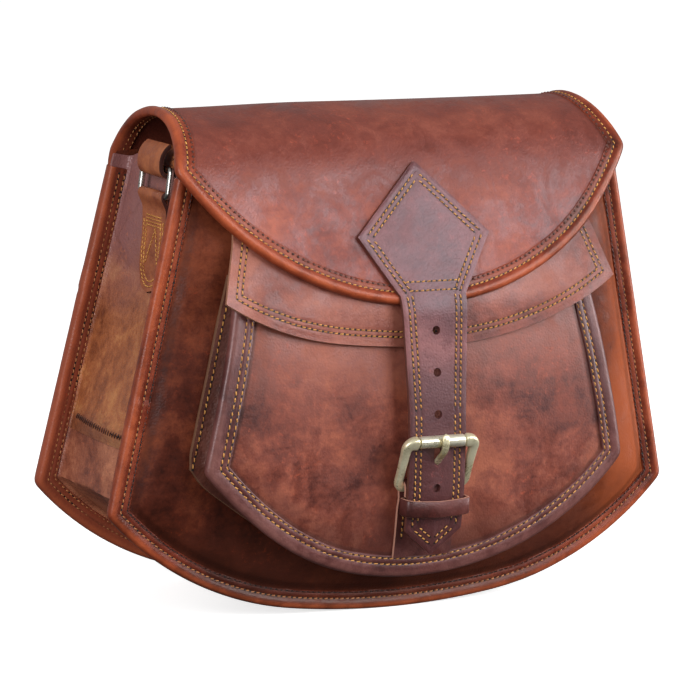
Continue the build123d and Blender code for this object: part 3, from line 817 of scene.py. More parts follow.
def thread(name, dark, light):
    """Waxed sewing thread: twisted, a little fuzzy, with stitches that differ in tone."""
    n = Nodes(name)
    rest = n.read("rest", "Vector")
    tone = n.total((n.noise(rest, 9, 4, 0.7), 0.6), (n.noise(rest, 0.5, 2), 0.4))
    n.shade({"Base Color": n.ramp(tone, [(0.36, dark), (0.62, light)]), "Roughness": n.span(tone, 0.3, 0.7, 0.5, 0.75)})
    twist = n.add("ShaderNodeTexWave", {"Vector": rest, "Scale": 0.55, "Distortion": 1.5, "Detail": 1.0})
    n.relief(twist.outputs["Fac"], 0.5, 0.0002)
    return n.material


def metal(name, dark, light, rough, pure=1.0):
    """Cast metal with a thin uneven patina that is brighter and darker in random patches."""
    n = Nodes(name)
    place = n.add("ShaderNodeTexCoord").outputs["Object"]
    patina = n.noise(place, 0.018, 5, 0.6, 0.4)
    grit = n.noise(place, 0.018 / 14, 3, 0.6)
    tone = n.total((patina, 0.75), (grit, 0.25))
    n.shade({"Base Color": n.ramp(tone, [(0.36, dark), (0.56, light)]), "Metallic": pure,
             "Roughness": n.span(tone, 0.35, 0.65, *rough)})
    n.relief(n.total((patina, 0.7), (grit, 0.3)), 0.12, 0.0002)
    return n.material


def paper(name, colour):
    n = Nodes(name)
    tone = n.noise(n.add("ShaderNodeTexCoord").outputs["Object"], 0.4, 2)
    n.shade({"Base Color": n.ramp(tone, [(0.3, dimmed(colour, 0.985)), (0.7, colour)]), "Roughness": 0.9,
             "Emission Color": (1, 1, 1, 1), "Emission Strength": 0.72})
    return n.material


RAW_TAN = srgb(168, 118, 92)
RAW_DARK = srgb(70, 36, 30)
# Front panel leather. The lighter orange strip at its right edge (first patch, from x 98 mm) is painted light from the
# right lamp, and the seam band beside the binding's lip is painted shade.
BODY = leather("body_leather", srgb(42, 17, 12), srgb(78, 33, 21), srgb(116, 56, 34), rim=RAW_DARK, shine=0.16,
               grain=0.6, seams=((12.0, 2.6, 0.3),), coat=0.0,
               tint_and_light_patches=((0, 98, 130, 26, srgb(170, 84, 44), 0.78), (2, 64, 26, 30, srgb(78, 38, 27), 0.6)))
# Back panel leather: a lighter copy of the front panel's, painted light for a side the lamps hardly reach; its seam
# band beside the binding's lip is painted shade.
BACK = leather("back_leather", srgb(62, 26, 18), srgb(106, 50, 33), srgb(146, 76, 50), rim=RAW_DARK, grain=0.6,
               shine=0.3, seams=((12.0, 2.6, 0.3),))
# Flap leather: the seam band just inside the binding is a painted shadow of the binding's step, and the darker patch
# from 196 mm up is painted shade where the flap turns over the arch.
FLAP = leather("flap_leather", srgb(74, 31, 26), srgb(126, 60, 47), srgb(166, 90, 68), rim=RAW_DARK, grain=0.7,
               seams=((10.2, 1.0, 0.15),), tint_and_light_patches=((2, 196, 216, 26, srgb(104, 46, 32), 0.6),),
               sheen=(1.0, 0.86, 0.92))
# Pocket leather: both seam bands beside the binding are painted shade, the pinkish patch from 104 mm up is a painted
# sheen, and a darker patch lies towards its foot.
POCKET = leather("pocket_leather", srgb(70, 31, 26), srgb(124, 62, 47), srgb(168, 94, 68), rim=RAW_DARK, grain=0.6,
                 seams=((11.3, 2.4, 0.5), (16.0, 8.0, 0.22)),
                 tint_and_light_patches=((2, 66, 34, 34, srgb(88, 42, 34), 0.6), (2, 104, 134, 30, srgb(150, 90, 76), 0.5)))
COVER = leather("pocket_flap_leather", srgb(90, 42, 34), srgb(130, 70, 57), srgb(162, 98, 80), rim=RAW_TAN, grain=0.7,
                seams=((4.6, 0.9, 0.25), (7.2, 0.9, 0.25)))
GUSSET = leather("gusset_leather", srgb(88, 44, 36), srgb(146, 84, 62), srgb(192, 124, 92), rim=RAW_DARK, grain=1.5,
                 crack=0.16, rough=(0.36, 0.56))
# Upper gusset leather: the purple-grey patch from 132 mm up is a painted sheen, and the darker band at its foot by the
# cross joint is painted shade.
GUSSET_UP = leather("gusset_upper_leather", srgb(104, 52, 31), srgb(162, 94, 56), srgb(200, 136, 84), rim=RAW_DARK,
                    grain=1.5, crack=0.16, rough=(0.34, 0.52),
                    tint_and_light_patches=((2, 132, 190, 30, srgb(136, 92, 92), 0.9), (2, 98, 86, 6, srgb(84, 46, 36), 0.5)))
# Binding leather: the lighter band on the roll is rubbed wear with a painted highlight, the broad seam band round 7.2
# mm is painted shade towards the lips, the darker patch below 24 mm is painted shade on the underside, and the lighter
# patch towards the back is painted light on the back binding.
TRIM_RED = leather("binding_leather", srgb(66, 25, 15), srgb(118, 47, 28), srgb(158, 72, 42), rough=(0.32, 0.50),
                   grain=0.6, edge_rub_and_highlight=(-0.8, 4.2, srgb(196, 100, 60), 0.55), coat=0.08, sheen=(1.0, 0.82, 0.78),
                   shine=0.36, seams=((ROW_1, 0.8, 0.25), (ROW_2, 0.8, 0.2), (7.2, 3.2, 0.1)),
                   tint_and_light_patches=((2, 24, 4, 8, srgb(66, 28, 17), 0.75), (1, 16, 40, 6, srgb(160, 84, 62), 0.6)))
TRIM_WALL = leather("pocket_wall_leather", srgb(54, 26, 20), srgb(82, 42, 32), srgb(108, 60, 46),
                    rim=srgb(124, 88, 66), crack=0.0)
# Pocket binding leather: its pinkish-grey band along the roll is rubbed wear with a painted sheen.
TRIM_DARK = leather("pocket_binding_leather", srgb(54, 27, 26), srgb(88, 48, 45), srgb(122, 76, 70), rough=(0.34, 0.5),
                    edge_rub_and_highlight=(-0.5, 5.0, srgb(134, 92, 84), 0.35), coat=0.16, grain=0.6, sheen=(1.0, 0.86, 0.90))
# Billet leather: the darker patch below 136 mm is painted shade on the strap's lower, upright run.
OXBLOOD = leather("oxblood_leather", srgb(62, 30, 29), srgb(98, 54, 53), srgb(130, 82, 79), rim=srgb(96, 56, 46),
                  rough=(0.36, 0.50), seams=((3.3, 0.9, 0.25), (6.0, 0.9, 0.25)), sheen=(1.0, 0.84, 0.94), coat=0.16,
                  grain=0.7, tint_and_light_patches=((2, 136, 116, 12, srgb(66, 34, 33), 0.7),))
MAROON = leather("keeper_leather", srgb(52, 24, 21), srgb(80, 38, 34), srgb(106, 56, 50), rim=srgb(190, 138, 118),
                 grain=0.6)
STRAP = leather("strap_leather", srgb(86, 38, 24), srgb(136, 70, 42), srgb(176, 104, 64), rim=RAW_DARK)
# Needle holes: their near-black colour is painted shade for the depth of the holes.
HOLE = thread("needle_hole", srgb(14, 7, 6), srgb(32, 16, 13))
GOLD = thread("golden_thread", srgb(156, 96, 40), srgb(228, 168, 88))
TAN = thread("tan_thread", srgb(140, 82, 46), srgb(200, 136, 84))
DARK_THREAD = thread("dark_thread", srgb(44, 20, 16), srgb(92, 46, 34))
BRASS = metal("antique_brass_finish", srgb(196, 184, 140), srgb(242, 234, 200), (0.24, 0.38), pure=0.6)
BRIGHT = metal("roller_finish", srgb(214, 206, 170), srgb(248, 242, 222), (0.24, 0.36), pure=0.75)
NICKEL = metal("nickel_finish", srgb(150, 146, 140), srgb(214, 212, 206), (0.18, 0.34))

# ---------------------------------------------------------------------------------------------
# Pieces


def finish(piece, body, nodes=()):
    if body:
        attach(piece, body)
    if nodes:
        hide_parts(*nodes)
    return piece


def point(y, z, x=0.0):
    """A place in the frame, in metres, from millimetres."""
    return tuple((np.array([x, y, z]) + ORIGIN) * MM)


def hinge_blend(piece):
    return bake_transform(piece)


def spread(count, low, high, close=1.0):
    """Even values between two limits; close below 1 gathers them at both ends."""
    t = np.linspace(-1, 1, count)
    t = np.sign(t) * np.abs(t) ** close
    return (low + high) / 2 + t * (high - low) / 2


def panel_grid(corner, low, top, half_top, inset, columns, rows):
    """Grid over a panel with a curved foot and straight leaning sides."""
    u = spread(columns, -1, 1, 0.92)
    v = np.linspace(0, 1, rows)
    foot_x = u * (corner - inset)
    foot_z = low(u * corner) + inset
    x = foot_x[None] + (u * (half_top - inset) - foot_x)[None] * v[:, None]
    z = foot_z[None] + (top - foot_z)[None] * v[:, None]
    return x, z


ROLL = [(4.3, 0.95), (3.2, 1.25), (2.0, 1.25), (0.95, 0.85), (0.25, 0.1), (-0.05, -0.9), (-0.1, -2.0)]
LIP = [(9.7, -0.3), (9.6, 0.22), (9.3, 0.42), (ROW_2, 0.25), (8.0, 0.48), (7.1, 0.55), (6.2, 0.48),
       (ROW_1, 0.28), (5.0, 0.6)]
UNDER = [(-0.05, -3.1), (0.3, -4.2), (1.1, -5.1), (2.4, -5.5), (4.0, -5.4), (ROW_1, -4.9), (6.3, -5.25),
         (7.9, -5.2), (ROW_2, -4.85), (9.4, -5.15), (9.8, -4.2)]
BODY_SECTION = LIP + ROLL + UNDER
FLAP_SECTION = LIP + ROLL + [(0.1, -2.5), (0.7, -3.1), (2.0, -3.3), (6.0, -3.15), (9.3, -3.05), (9.6, -2.2)]
FLAT_ROLL = [(4.6, 1.1), (3.2, 1.3), (1.8, 1.2), (0.7, 0.7), (0.1, -0.3), (-0.05, -2.0)]
POCKET_SECTION = [(11.2, -0.1), (11.0, 0.75), (10.5, 0.95), (9.9, 0.55), (9.2, 0.9), (8.4, 1.0), (7.5, 0.9),
                  (6.9, 0.5), (6.2, 0.95)] + FLAT_ROLL + [(0.2, -3.6), (0.9, -4.7), (2.2, -5.2), (4.2, -5.1),
                                                          (4.6, -4.3)]

# Body panels

front_line, back_line = body_edge(FRONT_TOP), body_edge(BACK_SEAM_TOP)
for name, surface, line, top, size, press, centre, material in (
        ("front", front, front_line, FRONT_TOP, (150, 112), 0.15, 11.0, BODY),
        ("back", slack_back, back_line, BACK_TOP, (130, 100), 0.3, 11.4, BACK)):
    x, z = panel_grid(CORNER_X, belly, top, float(half_width(top)), 3.0, *size)
    near = line.distance(x, z)
    panel = sheet_on(f"leather_{name}_panel", surface, x, z, -press * bump(near, centre, 1.5), LEATHER, material, near)
    finish(panel, "bag", [f"{name}_panel"])
for name, surface, line, seed, laps in (
        ("front", flat_front, front_line, 1, [(-float(half_width(113.0)), 113.0)]),
        ("back", back, back_line, 2, [(float(half_width(152.0)), 152.0), (-40.0, 0.0)])):
    piece = binding(f"leather_{name}_binding", surface, line, BODY_SECTION, TRIM_RED, 1.0, seed, laps)
    finish(piece, "bag", [f"{name}_binding"])

seams = ((flat_front, front_line), (back, back_line))
inner_rows = [row(surface, line, ROW_2, 0.3) for surface, line in seams]
outer_rows = [row(surface, line, ROW_1, 0.33) for surface, line in seams]
outer_rows += [row_behind(surface, line, inset, -4.8) for surface, line in seams for inset in (ROW_1, ROW_2)]
finish(sew("stitches_body_inner", inner_rows, DARK_THREAD), "bag")
finish(sew("stitches_body_outer", outer_rows, TAN), "bag")

# Gusset

GUSSET_SEAM = FRONT_FACE + LEATHER


def bow(z):
    return np.interp(z, [0, 45, 92, 128, 157, 185, 204, 224], [0.5, 0, -2.5, 2.5, 5.5, 3.5, 1.0, 0.0])


def gusset_inset(x, z, t):
    """Distance from the body outline to the gusset's wall at a share of the way from back to front."""
    p = np.stack([np.sign(x) * 90 + 0 * t, -40 + 90 * t, z + 0 * t], -1)
    low = np.stack([x + 0 * t, -40 + 90 * t, 0 * z + 0 * t], -1)
    q = np.where((z > CORNER_Z)[..., None], p, low)
    loose = np.sin(pi * np.clip(t, 0, 1))
    fold = np.where(z > 110, 1.4 * bump(z + 14 * t + 5 * noise(q, 25, 11), 172, 7) - 1.0 * bump(z - 16 * t, 148, 8), 0)
    slanted = q * np.array([1.0, 0.8, 1.0]) + np.array([0.0, 0.0, 0.5]) * q[..., 1:2]
    wrinkle = np.abs(noise(slanted * np.array([1.0, 0.45, 1.3]), 13, 14))
    fold = fold + 0.8 * (0.45 - wrinkle) * ramp(noise(q, 42, 15), -0.25, 0.35)
    return 11.4 + bow(z) * loose + loose * (1.1 * noise(q, 38, 12) + 0.6 * noise(q, 15, 13) + fold)


def gusset_side(side):
    def wall(a, z):
        y = a * side
        back_face = back_y(z) - LEATHER
        t = (back_face - y) / (back_face - GUSSET_SEAM)
        inset = gusset_inset(side * np.ones_like(y), z, t)
        return np.stack([side * (half_width(z) - inset / cos(np.arctan(SIDE_SLOPE))), y, z], -1)
    return wall


def gusset_strip(name, start, stop, material, lift_out=0.0, mouth=False):
    """A length of the gusset along the body outline, with its two turned-out flanges."""
    edge = front_line.points[start:stop]
    inward = front_line.inward[start:stop]
    t = np.linspace(0.07, 0.93, 40)
    section = [(1.2, 0, -2.0), (5, 0, -2.0), (8.6, 0, -2.1), (10.2, 0, -2.9), (11.2, 0, -4.6)]
    section += [(None, k, 0.0) for k in t]
    section += [(11.2, 1, 4.6), (10.2, 1, 2.9), (8.6, 1, 2.1), (5, 1, 2.0), (1.2, 1, 2.0)]
    section += [(1.2, 1, 0.1), (10, 1, 0.1), (12.6, 1, 2.2), (13.2, 1, 4.4)]
    section += [(False, k, 0.0) for k in t[::-1]]
    section += [(13.2, 0, -4.4), (12.6, 0, -2.2), (10, 0, -0.1), (1.2, 0, -0.1)]
    grid = np.zeros((len(edge), len(section), 3))
    distance = np.zeros(grid.shape[:2])
    for j, (inset, share, off) in enumerate(section):
        share_at = np.full(len(edge), float(share))
        if inset is None or inset is False:
            wall = gusset_inset(edge[:, 0], edge[:, 1], share_at)
            wall = wall - lift_out if inset is None else wall + 2.0
        else:
            wall = np.full(len(edge), float(inset)) - (lift_out * 0.5 if 9 < inset < 12 else 0)
        xz = edge + inward * wall[:, None]
        back_face = back_y(xz[:, 1]) - LEATHER
        y = (1 - share_at) * back_face + share_at * GUSSET_SEAM + off
        grid[:, j] = np.stack([xz[:, 0], y, xz[:, 1]], 1)
        distance[:, j] = np.minimum(np.abs(back_face - y), np.abs(y - GUSSET_SEAM)) + 4
    if mouth:
        y = grid[..., 1]
        top = np.interp(y, [-47, -36, -20, 10, 24, 34], [215.5, 222.5, 225.5, 225.5, 221, 218])
        grid[..., 2] += (top - FRONT_TOP) * ramp(grid[..., 2], 178, 214)
        grid[..., 0] -= np.sign(grid[..., 0]) * SIDE_SLOPE * (top - FRONT_TOP) * ramp(grid[..., 2], 178, 214)
    return tube(name, grid, material, distance)


levels = front_line.points[:, 1]


def cut(level):
    """Where the gusset is cut at a level, on the left and on the right."""
    index = int(np.searchsorted(-levels[:front_line.corners[0]], -level))
    return index, len(levels) - index


side_left, side_right = cut(GUSSET_JOINT - 5)
for name, start, stop in (("left", 0, side_left + 1), ("right", side_right - 1, len(levels))):
    piece = gusset_strip(f"leather_gusset_{name}", start, stop, GUSSET_UP, 1.4, True)
    finish(piece, "bag", [f"gusset_{name}"])
piece = gusset_strip("leather_gusset_bottom", *cut(GUSSET_JOINT + 9), GUSSET)
finish(piece, "bag", ["gusset_bottom"])

y = np.linspace(29, -40, 70)
cross_rows = [seam(gusset_side(side), np.stack([y * side, GUSSET_JOINT - 2.2 + 0.03 * y], 1), 1.45) for side in (-1, 1)]
finish(sew("stitches_gusset_joint", cross_rows, DARK_THREAD, 2.4, length=3.6, radius=0.45, slant=2.2), "bag")

# Flap

flap_line = flap_edge()
u = spread(140, -1, 1, 0.92)
v = np.linspace(0, 1, 150)[:, None]
FLAP_BACK, FLAP_INSET = -14.0, 3.5
foot = flap_foot(u * (FLAP_CORNER - 3.0), FLAP_RADIUS - FLAP_INSET)
x = (u * (flap_half(FLAP_BACK + 120.0 * v) - FLAP_INSET))[::-1]
s = (FLAP_BACK + (foot - FLAP_BACK) * v)[::-1]
near = flap_line.distance(x, -s)
flap_panel = sheet_on("leather_flap", flap, x, -s, -0.12 * bump(near, 10.8, 1.2), LEATHER, FLAP, near)
hinge_blend(finish(flap_panel, None, ["flap_panel"]))
flap_binding = binding("leather_flap_binding", flap, flap_line, FLAP_SECTION, TRIM_RED, 1.0, 3)
hinge_blend(finish(flap_binding, None, ["flap_binding"]))
hinge_blend(sew("stitches_flap_gold", [row(flap, flap_line, ROW_1, 0.33)], GOLD))
hinge_blend(sew("stitches_flap_dark", [row(flap, flap_line, ROW_2 - 0.3, 0.30)], DARK_THREAD, pierced=False,
                length=1.55, radius=0.62, slant=0.05, proud=0.1))
hinge_blend(sew("stitches_flap_under", [row_behind(flap, flap_line, inset, -2.95) for inset in (ROW_1, ROW_2)], TAN))
back_rows = [seam(flap, np.array([[-106.0, b], [106.0, b]]), 0.05) for b in (10.0, 6.6)]
finish(sew("stitches_flap_back", back_rows, TAN), "bag")

# Front pocket

pocket_line = pocket_edge()
x, z = panel_grid(POCKET_CORNER_X, pocket_low, POCKET_TOP, float(pocket_half(POCKET_TOP)), 2.5, 120, 90)
near = pocket_line.distance(x, z)
pocket_panel = sheet_on("leather_pocket_front", pocket, x, z, -0.3 * bump(near, 12.2, 1.5), LEATHER, POCKET, near)
finish(pocket_panel, "bag", ["pocket_panel"])
pocket_binding = binding("leather_pocket_binding", pocket, pocket_line, POCKET_SECTION, TRIM_DARK, 0.8, 4)
finish(pocket_binding, "bag", ["pocket_binding"])
pocket_rows = [row(pocket, pocket_line, inset, 0.6) for inset in POCKET_ROWS]
finish(sew("stitches_pocket_binding", pocket_rows, GOLD, POCKET_STITCH, length=POCKET_STITCH_LENGTH), "bag")


def pocket_wall():
    """Pocket's wall: a flange sewn on the front panel, a hollow side and a rim behind the pocket."""
    edge, inward = pocket_line.points, pocket_line.inward
    section = [(-2.9, 0, -0.3), (-2.8, 0, -2.0), (-1.2, 0, -2.2), (2.6, 0, -2.3), (4.6, 0, -3.4)]
    section += [(5.4 + 0.9 * sin(pi * t), t, 0.0) for t in np.linspace(0.25, 0.85, 8)]
    section += [(4.9, 1, -1.2), (4.0, 1, 0.4), (2.6, 1, 0.6), (2.6, 1, -0.6), (5.2, 1, -0.8), (6.6, 1, -1.6)]
    section += [(7.2 + 0.9 * sin(pi * t), t, 0.0) for t in np.linspace(0.85, 0.25, 8)]
    section += [(6.2, 0, -1.2), (3.0, 0, 0.2), (-2.7, 0, 0.2)]
    grid = np.zeros((len(edge), len(section), 3))
    distance = np.zeros(grid.shape[:2])
    tuck = 4.6 * ramp(POCKET_CORNER_X - 1 - np.abs(edge[:, 0]), 0, 26) * (edge[:, 1] < POCKET_CORNER_Z + 1)
    tuck = np.convolve(np.pad(tuck, 6, mode="edge"), np.ones(13) / 13, "valid")
    tuck = tuck + 1.6 * bump(edge[:, 1], POCKET_CORNER_Z, 5)
    for j, (inset, share, off) in enumerate(section):
        shift = inset + (tuck if inset < 2.0 and share == 0 else 0 * tuck)
        shift = shift + 0.5 * noise(upright(*edge.T), 16, 14 + share)
        xz = edge + inward * shift[:, None]
        rim = pocket(xz[:, 0], xz[:, 1])[:, 1] + 4.0
        xz[:, 1] += pocket_raise(xz[:, 0], xz[:, 1])
        base = front(xz[:, 0], xz[:, 1])[:, 1]
        y = (1 - share) * base + share * rim + off
        grid[:, j] = np.stack([xz[:, 0], y, xz[:, 1]], 1)
        distance[:, j] = -1.0 if inset < -2.5 else 6.0
    return tube("leather_pocket_wall", grid, TRIM_WALL, distance)


finish(pocket_wall(), "bag", ["pocket_gusset"])
raised = pocket_line.at(-0.2)
raised[:, 1] += pocket_raise(raised[:, 0], raised[:, 1])
raised = raised[raised[:, 1] > POCKET_CORNER_Z + 3]
flange_rows = [seam(front, raised[keep], 2.25) for keep in (raised[:, 0] < 0, raised[:, 0] > 0)]
finish(sew("stitches_pocket_flange", flange_rows, GOLD, POCKET_STITCH, length=POCKET_STITCH_LENGTH), "bag")

# Pocket flap

cover_line = cover_edge()
u = spread(120, -1, 1, 0.92)
v = np.linspace(0, 1, 64)[:, None]
low_z = cover_low(u * COVER_CORNER_X)
x = u * (COVER_CORNER_X + (COVER_TOP_X - COVER_CORNER_X) * v)
z = low_z + (COVER_TOP - low_z) * v
near = cover_line.distance(x, z)
relief = crease(near, COVER_ROWS, 0.28, 0.7) + 0.15 * bump(near, 0, 1.0)
pocket_flap = sheet_on("leather_pocket_flap", cover, x, z, relief, LEATHER, COVER, near)
finish(pocket_flap, "pocket_cover", ["pocket_flap"])
cover_rows = [row(cover, cover_line, inset, -0.12, (3, 3)) for inset in COVER_ROWS]
finish(sew("stitches_pocket_flap", cover_rows, GOLD), "pocket_cover")

# Ribbons: straps, tabs and the chape, drawn along a line in an upright plane


class Ribbon:
    """A strap's outer face along a line in the Y-Z plane (or the X-Z plane for the gusset's straps)."""

    def __init__(self, line, side=0, centre=0.0, step=1.5, rounds=8):
        self.line = smooth_path(line, 0.75, rounds)
        self.length = run_of(self.line)
        self.side, self.centre, self.step = side, centre, step

    def __call__(self, a, b):
        """a across the strap, b from minus the whole length at its far end up to 0 at its start."""
        first = np.interp(-b, self.length, self.line[:, 0])
        second = np.interp(-b, self.length, self.line[:, 1])
        if self.side:
            return np.stack([first, self.centre + self.side * a, second], -1)
        return np.stack([a + self.centre, first, second], -1)

    def reach(self, level):
        """Length at which the line first comes down to a level."""
        return float(self.length[np.argmax(self.line[:, 1] <= level)])

    def whole(self):
        return float(self.length[-1])

    def sheet(self, name, half, thickness, material, columns=21, relief=None, stop=None, edge=None, marks=()):
        """The strap as a closed sheet; half is its half width at each length, and marks are its corners."""
        stop = self.whole() if stop is None else stop
        marks = np.unique(np.concatenate([np.arange(0, stop, self.step), [stop], marks]))
        widths = np.array([half(m) for m in marks])[::-1, None]
        b = -marks[::-1, None]
        a = widths * spread(columns, -1, 1, 0.85)
        b = np.broadcast_to(b, a.shape)
        near = edge(a, -b) if edge else np.minimum(widths - np.abs(a), stop + b)
        return sheet_on(name, self, a, b, relief(a, -b, near) if relief else 0.0, thickness, material, near)


# Kite patch and billet, cut from one piece

over_flap = np.linspace(flap_length(219.5) - 1.0, flap_length(155.0) - 9.0, 60)
over_height = 2.15 + 0.5 * ramp(over_flap, over_flap[-1] - 14, over_flap[-1])
kite_line = lift(flap, 0 * over_flap, -over_flap, over_height)[:, 1:].tolist()
hang = [(-80.9, 159.0), (-82.9, 153.0), (-85.1, 132.0), (-87.6, 110.0), (-88.8, 94.0), (-88.9, 80.0), (-88.8, 66.0),
        (-87.9, 56.0), (-86.0, 44.0), (-83.9, 33.5)]
billet = Ribbon(kite_line + hang, centre=BILLET_X, rounds=24)
TIP = billet.reach(34.2)
BILLET_CORNERS = [(35.7, billet.reach(188.0)), (17.7, billet.reach(160.0)), (15.2, billet.reach(105.0)),
                  (15.2, billet.reach(46.5))]
outline_right = [(0.6, 0.0)] + BILLET_CORNERS + [(0.7, TIP)]
outline = [(a, -m) for a, m in outline_right] + [(-a, -m) for a, m in outline_right[::-1]] + [(0.6, 0.0)]
outline = np.array(outline)


def billet_half(m):
    halves, spots = zip(*outline_right)
    return float(np.interp(m, spots, halves))


def billet_relief(a, m, near):
    press = crease(near, BILLET_ROWS, 0.24, 0.6) * (m < TIP)
    return press + 0.22 * noise(upright(a, -m), 19, 20) - 0.25 * bump(near, 0, 0.8)


billet_piece = billet.sheet("leather_billet", billet_half, LEATHER, OXBLOOD, 45, billet_relief, TIP,
                            lambda a, m: distance_to(outline, a, -m), [m for a, m in BILLET_CORNERS])
for level, radius, high in ((143, 2.1, 1), (123, 2.1, 1), (103, 2.1, 1), (84, 2.1, 2.4), (67.5, 2.0, 1)):
    place = billet(np.array(0.0), np.array(-billet.reach(level)))
    bpy.ops.mesh.primitive_cylinder_add(vertices=28, radius=radius * MM, depth=12 * MM,
                                        location=(place + ORIGIN) * MM, rotation=(pi / 2, 0, 0))
    cutter = bpy.context.object
    cutter.scale = (1, high, 1)
    cutter.data.materials.append(OXBLOOD)
    cut = billet_piece.modifiers.new("hole", "BOOLEAN")
    cut.operation, cut.object, cut.solver = "DIFFERENCE", cutter, "EXACT"
    bpy.context.view_layer.objects.active = billet_piece
    bpy.ops.object.modifier_apply(modifier=cut.name)
    bpy.data.objects.remove(cutter)
places = np.zeros(len(billet_piece.data.vertices) * 3)
billet_piece.data.vertices.foreach_get("co", places)
places = places.reshape(-1, 3) / MM - ORIGIN
billet_piece.data.attributes["rest"].data.foreach_set("vector", places.astype(np.float32).ravel())
billet_piece.data.set_sharp_from_angle(angle=radians(50))


def billet_blend(piece):
    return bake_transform(piece)


billet_blend(finish(billet_piece, None, ["billet_patch", "billet_strap"]))


def inset_corners(points, inset):
    """A corner line moved inside by the same distance, with its ends kept on the middle line."""
    points = np.array(points, float)
    along = unit(np.diff(points, axis=0))
    inward = np.stack([along[:, 1], -along[:, 0]], 1)
    base = points[:-1] + inward * inset
    out = []
    for k in range(len(base) + 1):
        if 0 < k < len(base):
            system = np.stack([along[k - 1], -along[k]], 1)
            share = np.linalg.solve(system, base[k] - base[k - 1])[0]
            out.append(base[k - 1] + along[k - 1] * share)
        else:
            k = min(k, len(base) - 1)
            out.append(base[k] - along[k] * base[k][0] / along[k][0])
    return np.array(out)


half_outline = np.array([(0.0, 0.0)] + [(a, -m) for a, m in BILLET_CORNERS] + [(0.0, -TIP)])
billet_rows = []
for inset in BILLET_ROWS:
    line = inset_corners(half_outline, inset)
    for side in (1, -1):
        for k in range(len(line) - 1):
            billet_rows.append(seam(billet, line[k:k + 2] * [side, 1], -0.1, (0.4, 0.4)))
for level, wide in ((166.0, 16.0), (162.4, 14.2)):
    m = billet.reach(level)
    billet_rows.append(seam(billet, np.array([[-wide, -m], [wide, -m]]), -0.05))
billet_blend(sew("stitches_billet", billet_rows, GOLD))

# Chape and keeper

levels_up = np.linspace(31.0, 56.0, 18)
chape_line = [(float(pocket(np.array(0.0), np.array(k))[1]) - 1.9, k) for k in levels_up]
chape_line += [(-80.2, 61.0)] + arc(HEEL, 2.75, np.linspace(0, pi, 15)) + [(HEEL[0] - 2.3, 63.4)]
chape = Ribbon(chape_line[::-1], centre=BILLET_X, rounds=4)
chape_piece = chape.sheet("leather_chape", lambda m: 15.6, 1.8, MAROON, 25,
                          lambda a, m, near: crease(near, (3.6,), 0.2, 0.6))
finish(chape_piece, "bag", ["buckle_chape"])
finish(sew("stitches_chape", pair_of_rows(chape, 12.4, -14.0, -chape.whole() + 9, -0.1), GOLD), "bag")


def keeper():
    """Keeper: a band round the billet, its front bowed out and its ends joined behind."""
    front_y, back_side, wide = -91.9, -81.4, 17.3
    loop = np.stack(rounded(turns(96), 0.34), 1) * [wide, 1]
    grid = []
    low, high, thick = 53.9, 62.2, 1.55
    section = [(0, low + 0.5), (0, high - 0.5), (0.3, high), (1.2, high), (thick, high - 0.5), (thick, low + 0.5),
               (1.2, low), (0.3, low)]
    middle = (front_y + back_side) / 2
    for px, sy in loop:
        ring = []
        for inset, level in section:
            share = (level - low) / (high - low)
            out = 0.5 * sin(pi * share) + (0.9 * share if sy < 0 else 0)
            half_deep = (back_side - front_y) / 2 - inset + (out if sy < 0 else 0)
            dip = 1.0 * (1 - min(abs(px) / wide, 1) ** 2) if sy < 0 else 0.0
            ring.append((BILLET_X + px * (wide - inset + 0.35 * sin(pi * share)) / wide, middle + sy * half_deep,
                         level - dip + 0.3 * noise(np.array([px, sy * 5, 0.0]), 9, 22)))
        grid.append(ring)
    grid = np.array(grid)
    rows, columns = grid.shape[:2]
    margins = np.broadcast_to([4, 4, -1, -1, 4, 4, -1, -1], (rows, columns))
    faces = grid_faces(rows, columns, wrap=True, closed=True)
    return outward(make_mesh("leather_keeper", grid, faces, MAROON, margins), 60)


finish(keeper(), "bag", ["keeper_loop"])

# Buckle

UP = unit(np.array([0.0, ROLLER[0] - HEEL[0], ROLLER[1] - HEEL[1]]))
ACROSS = np.array([1.0, 0.0, 0.0])
OUT = -np.cross(UP, ACROSS)
HEIGHT = float(np.hypot(ROLLER[0] - HEEL[0], ROLLER[1] - HEEL[1]))


def on_buckle(u, v, w=0.0):
    """A place in the buckle's own plane: across, up from the heel bar, and out from it."""
    base = np.array([BILLET_X, *HEEL])
    return base + np.multiply.outer(u, ACROSS) + np.multiply.outer(v, UP) + np.multiply.outer(w, OUT)


def bar(name, line, sizes, material, sides=20, power=0.62):
    """A cast bar: a rounded section that changes along a line in the buckle's plane."""
    line = np.array(line, float)
    along = heading(line)
    cross = np.stack([-along[:, 1], along[:, 0], 0 * along[:, 0]], 1)
    shape = rounded(turns(sides), power)
    grid = []
    for k, (at, size) in enumerate(zip(line, sizes)):
        spots = at[None] + cross[k][None] * (shape[0] * size[0])[:, None]
        spots = spots + np.array([0, 0, 1.0])[None] * (shape[1] * size[1])[:, None]
        grid.append(on_buckle(spots[:, 0], spots[:, 1], spots[:, 2]))
    return tube(name, np.array(grid), material)


def buckle_line():
    half, high, corner = 18.3, HEIGHT, 3.9
    points = [(-12.6, high)] + arc((corner - half, high - corner), corner, np.linspace(pi / 2, pi, 9))
    points += [(-half, v) for v in np.linspace(high - corner - 1.5, corner + 1.5, 12)]
    points += arc((corner - half, corner), corner, np.linspace(pi, 1.5 * pi, 9))
    points += [(u, 0.0) for u in np.linspace(-half + corner + 1.2, 0, 8)]
    return even(np.array(points + [(-u, v) for u, v in points[-2::-1]]), 0.7)


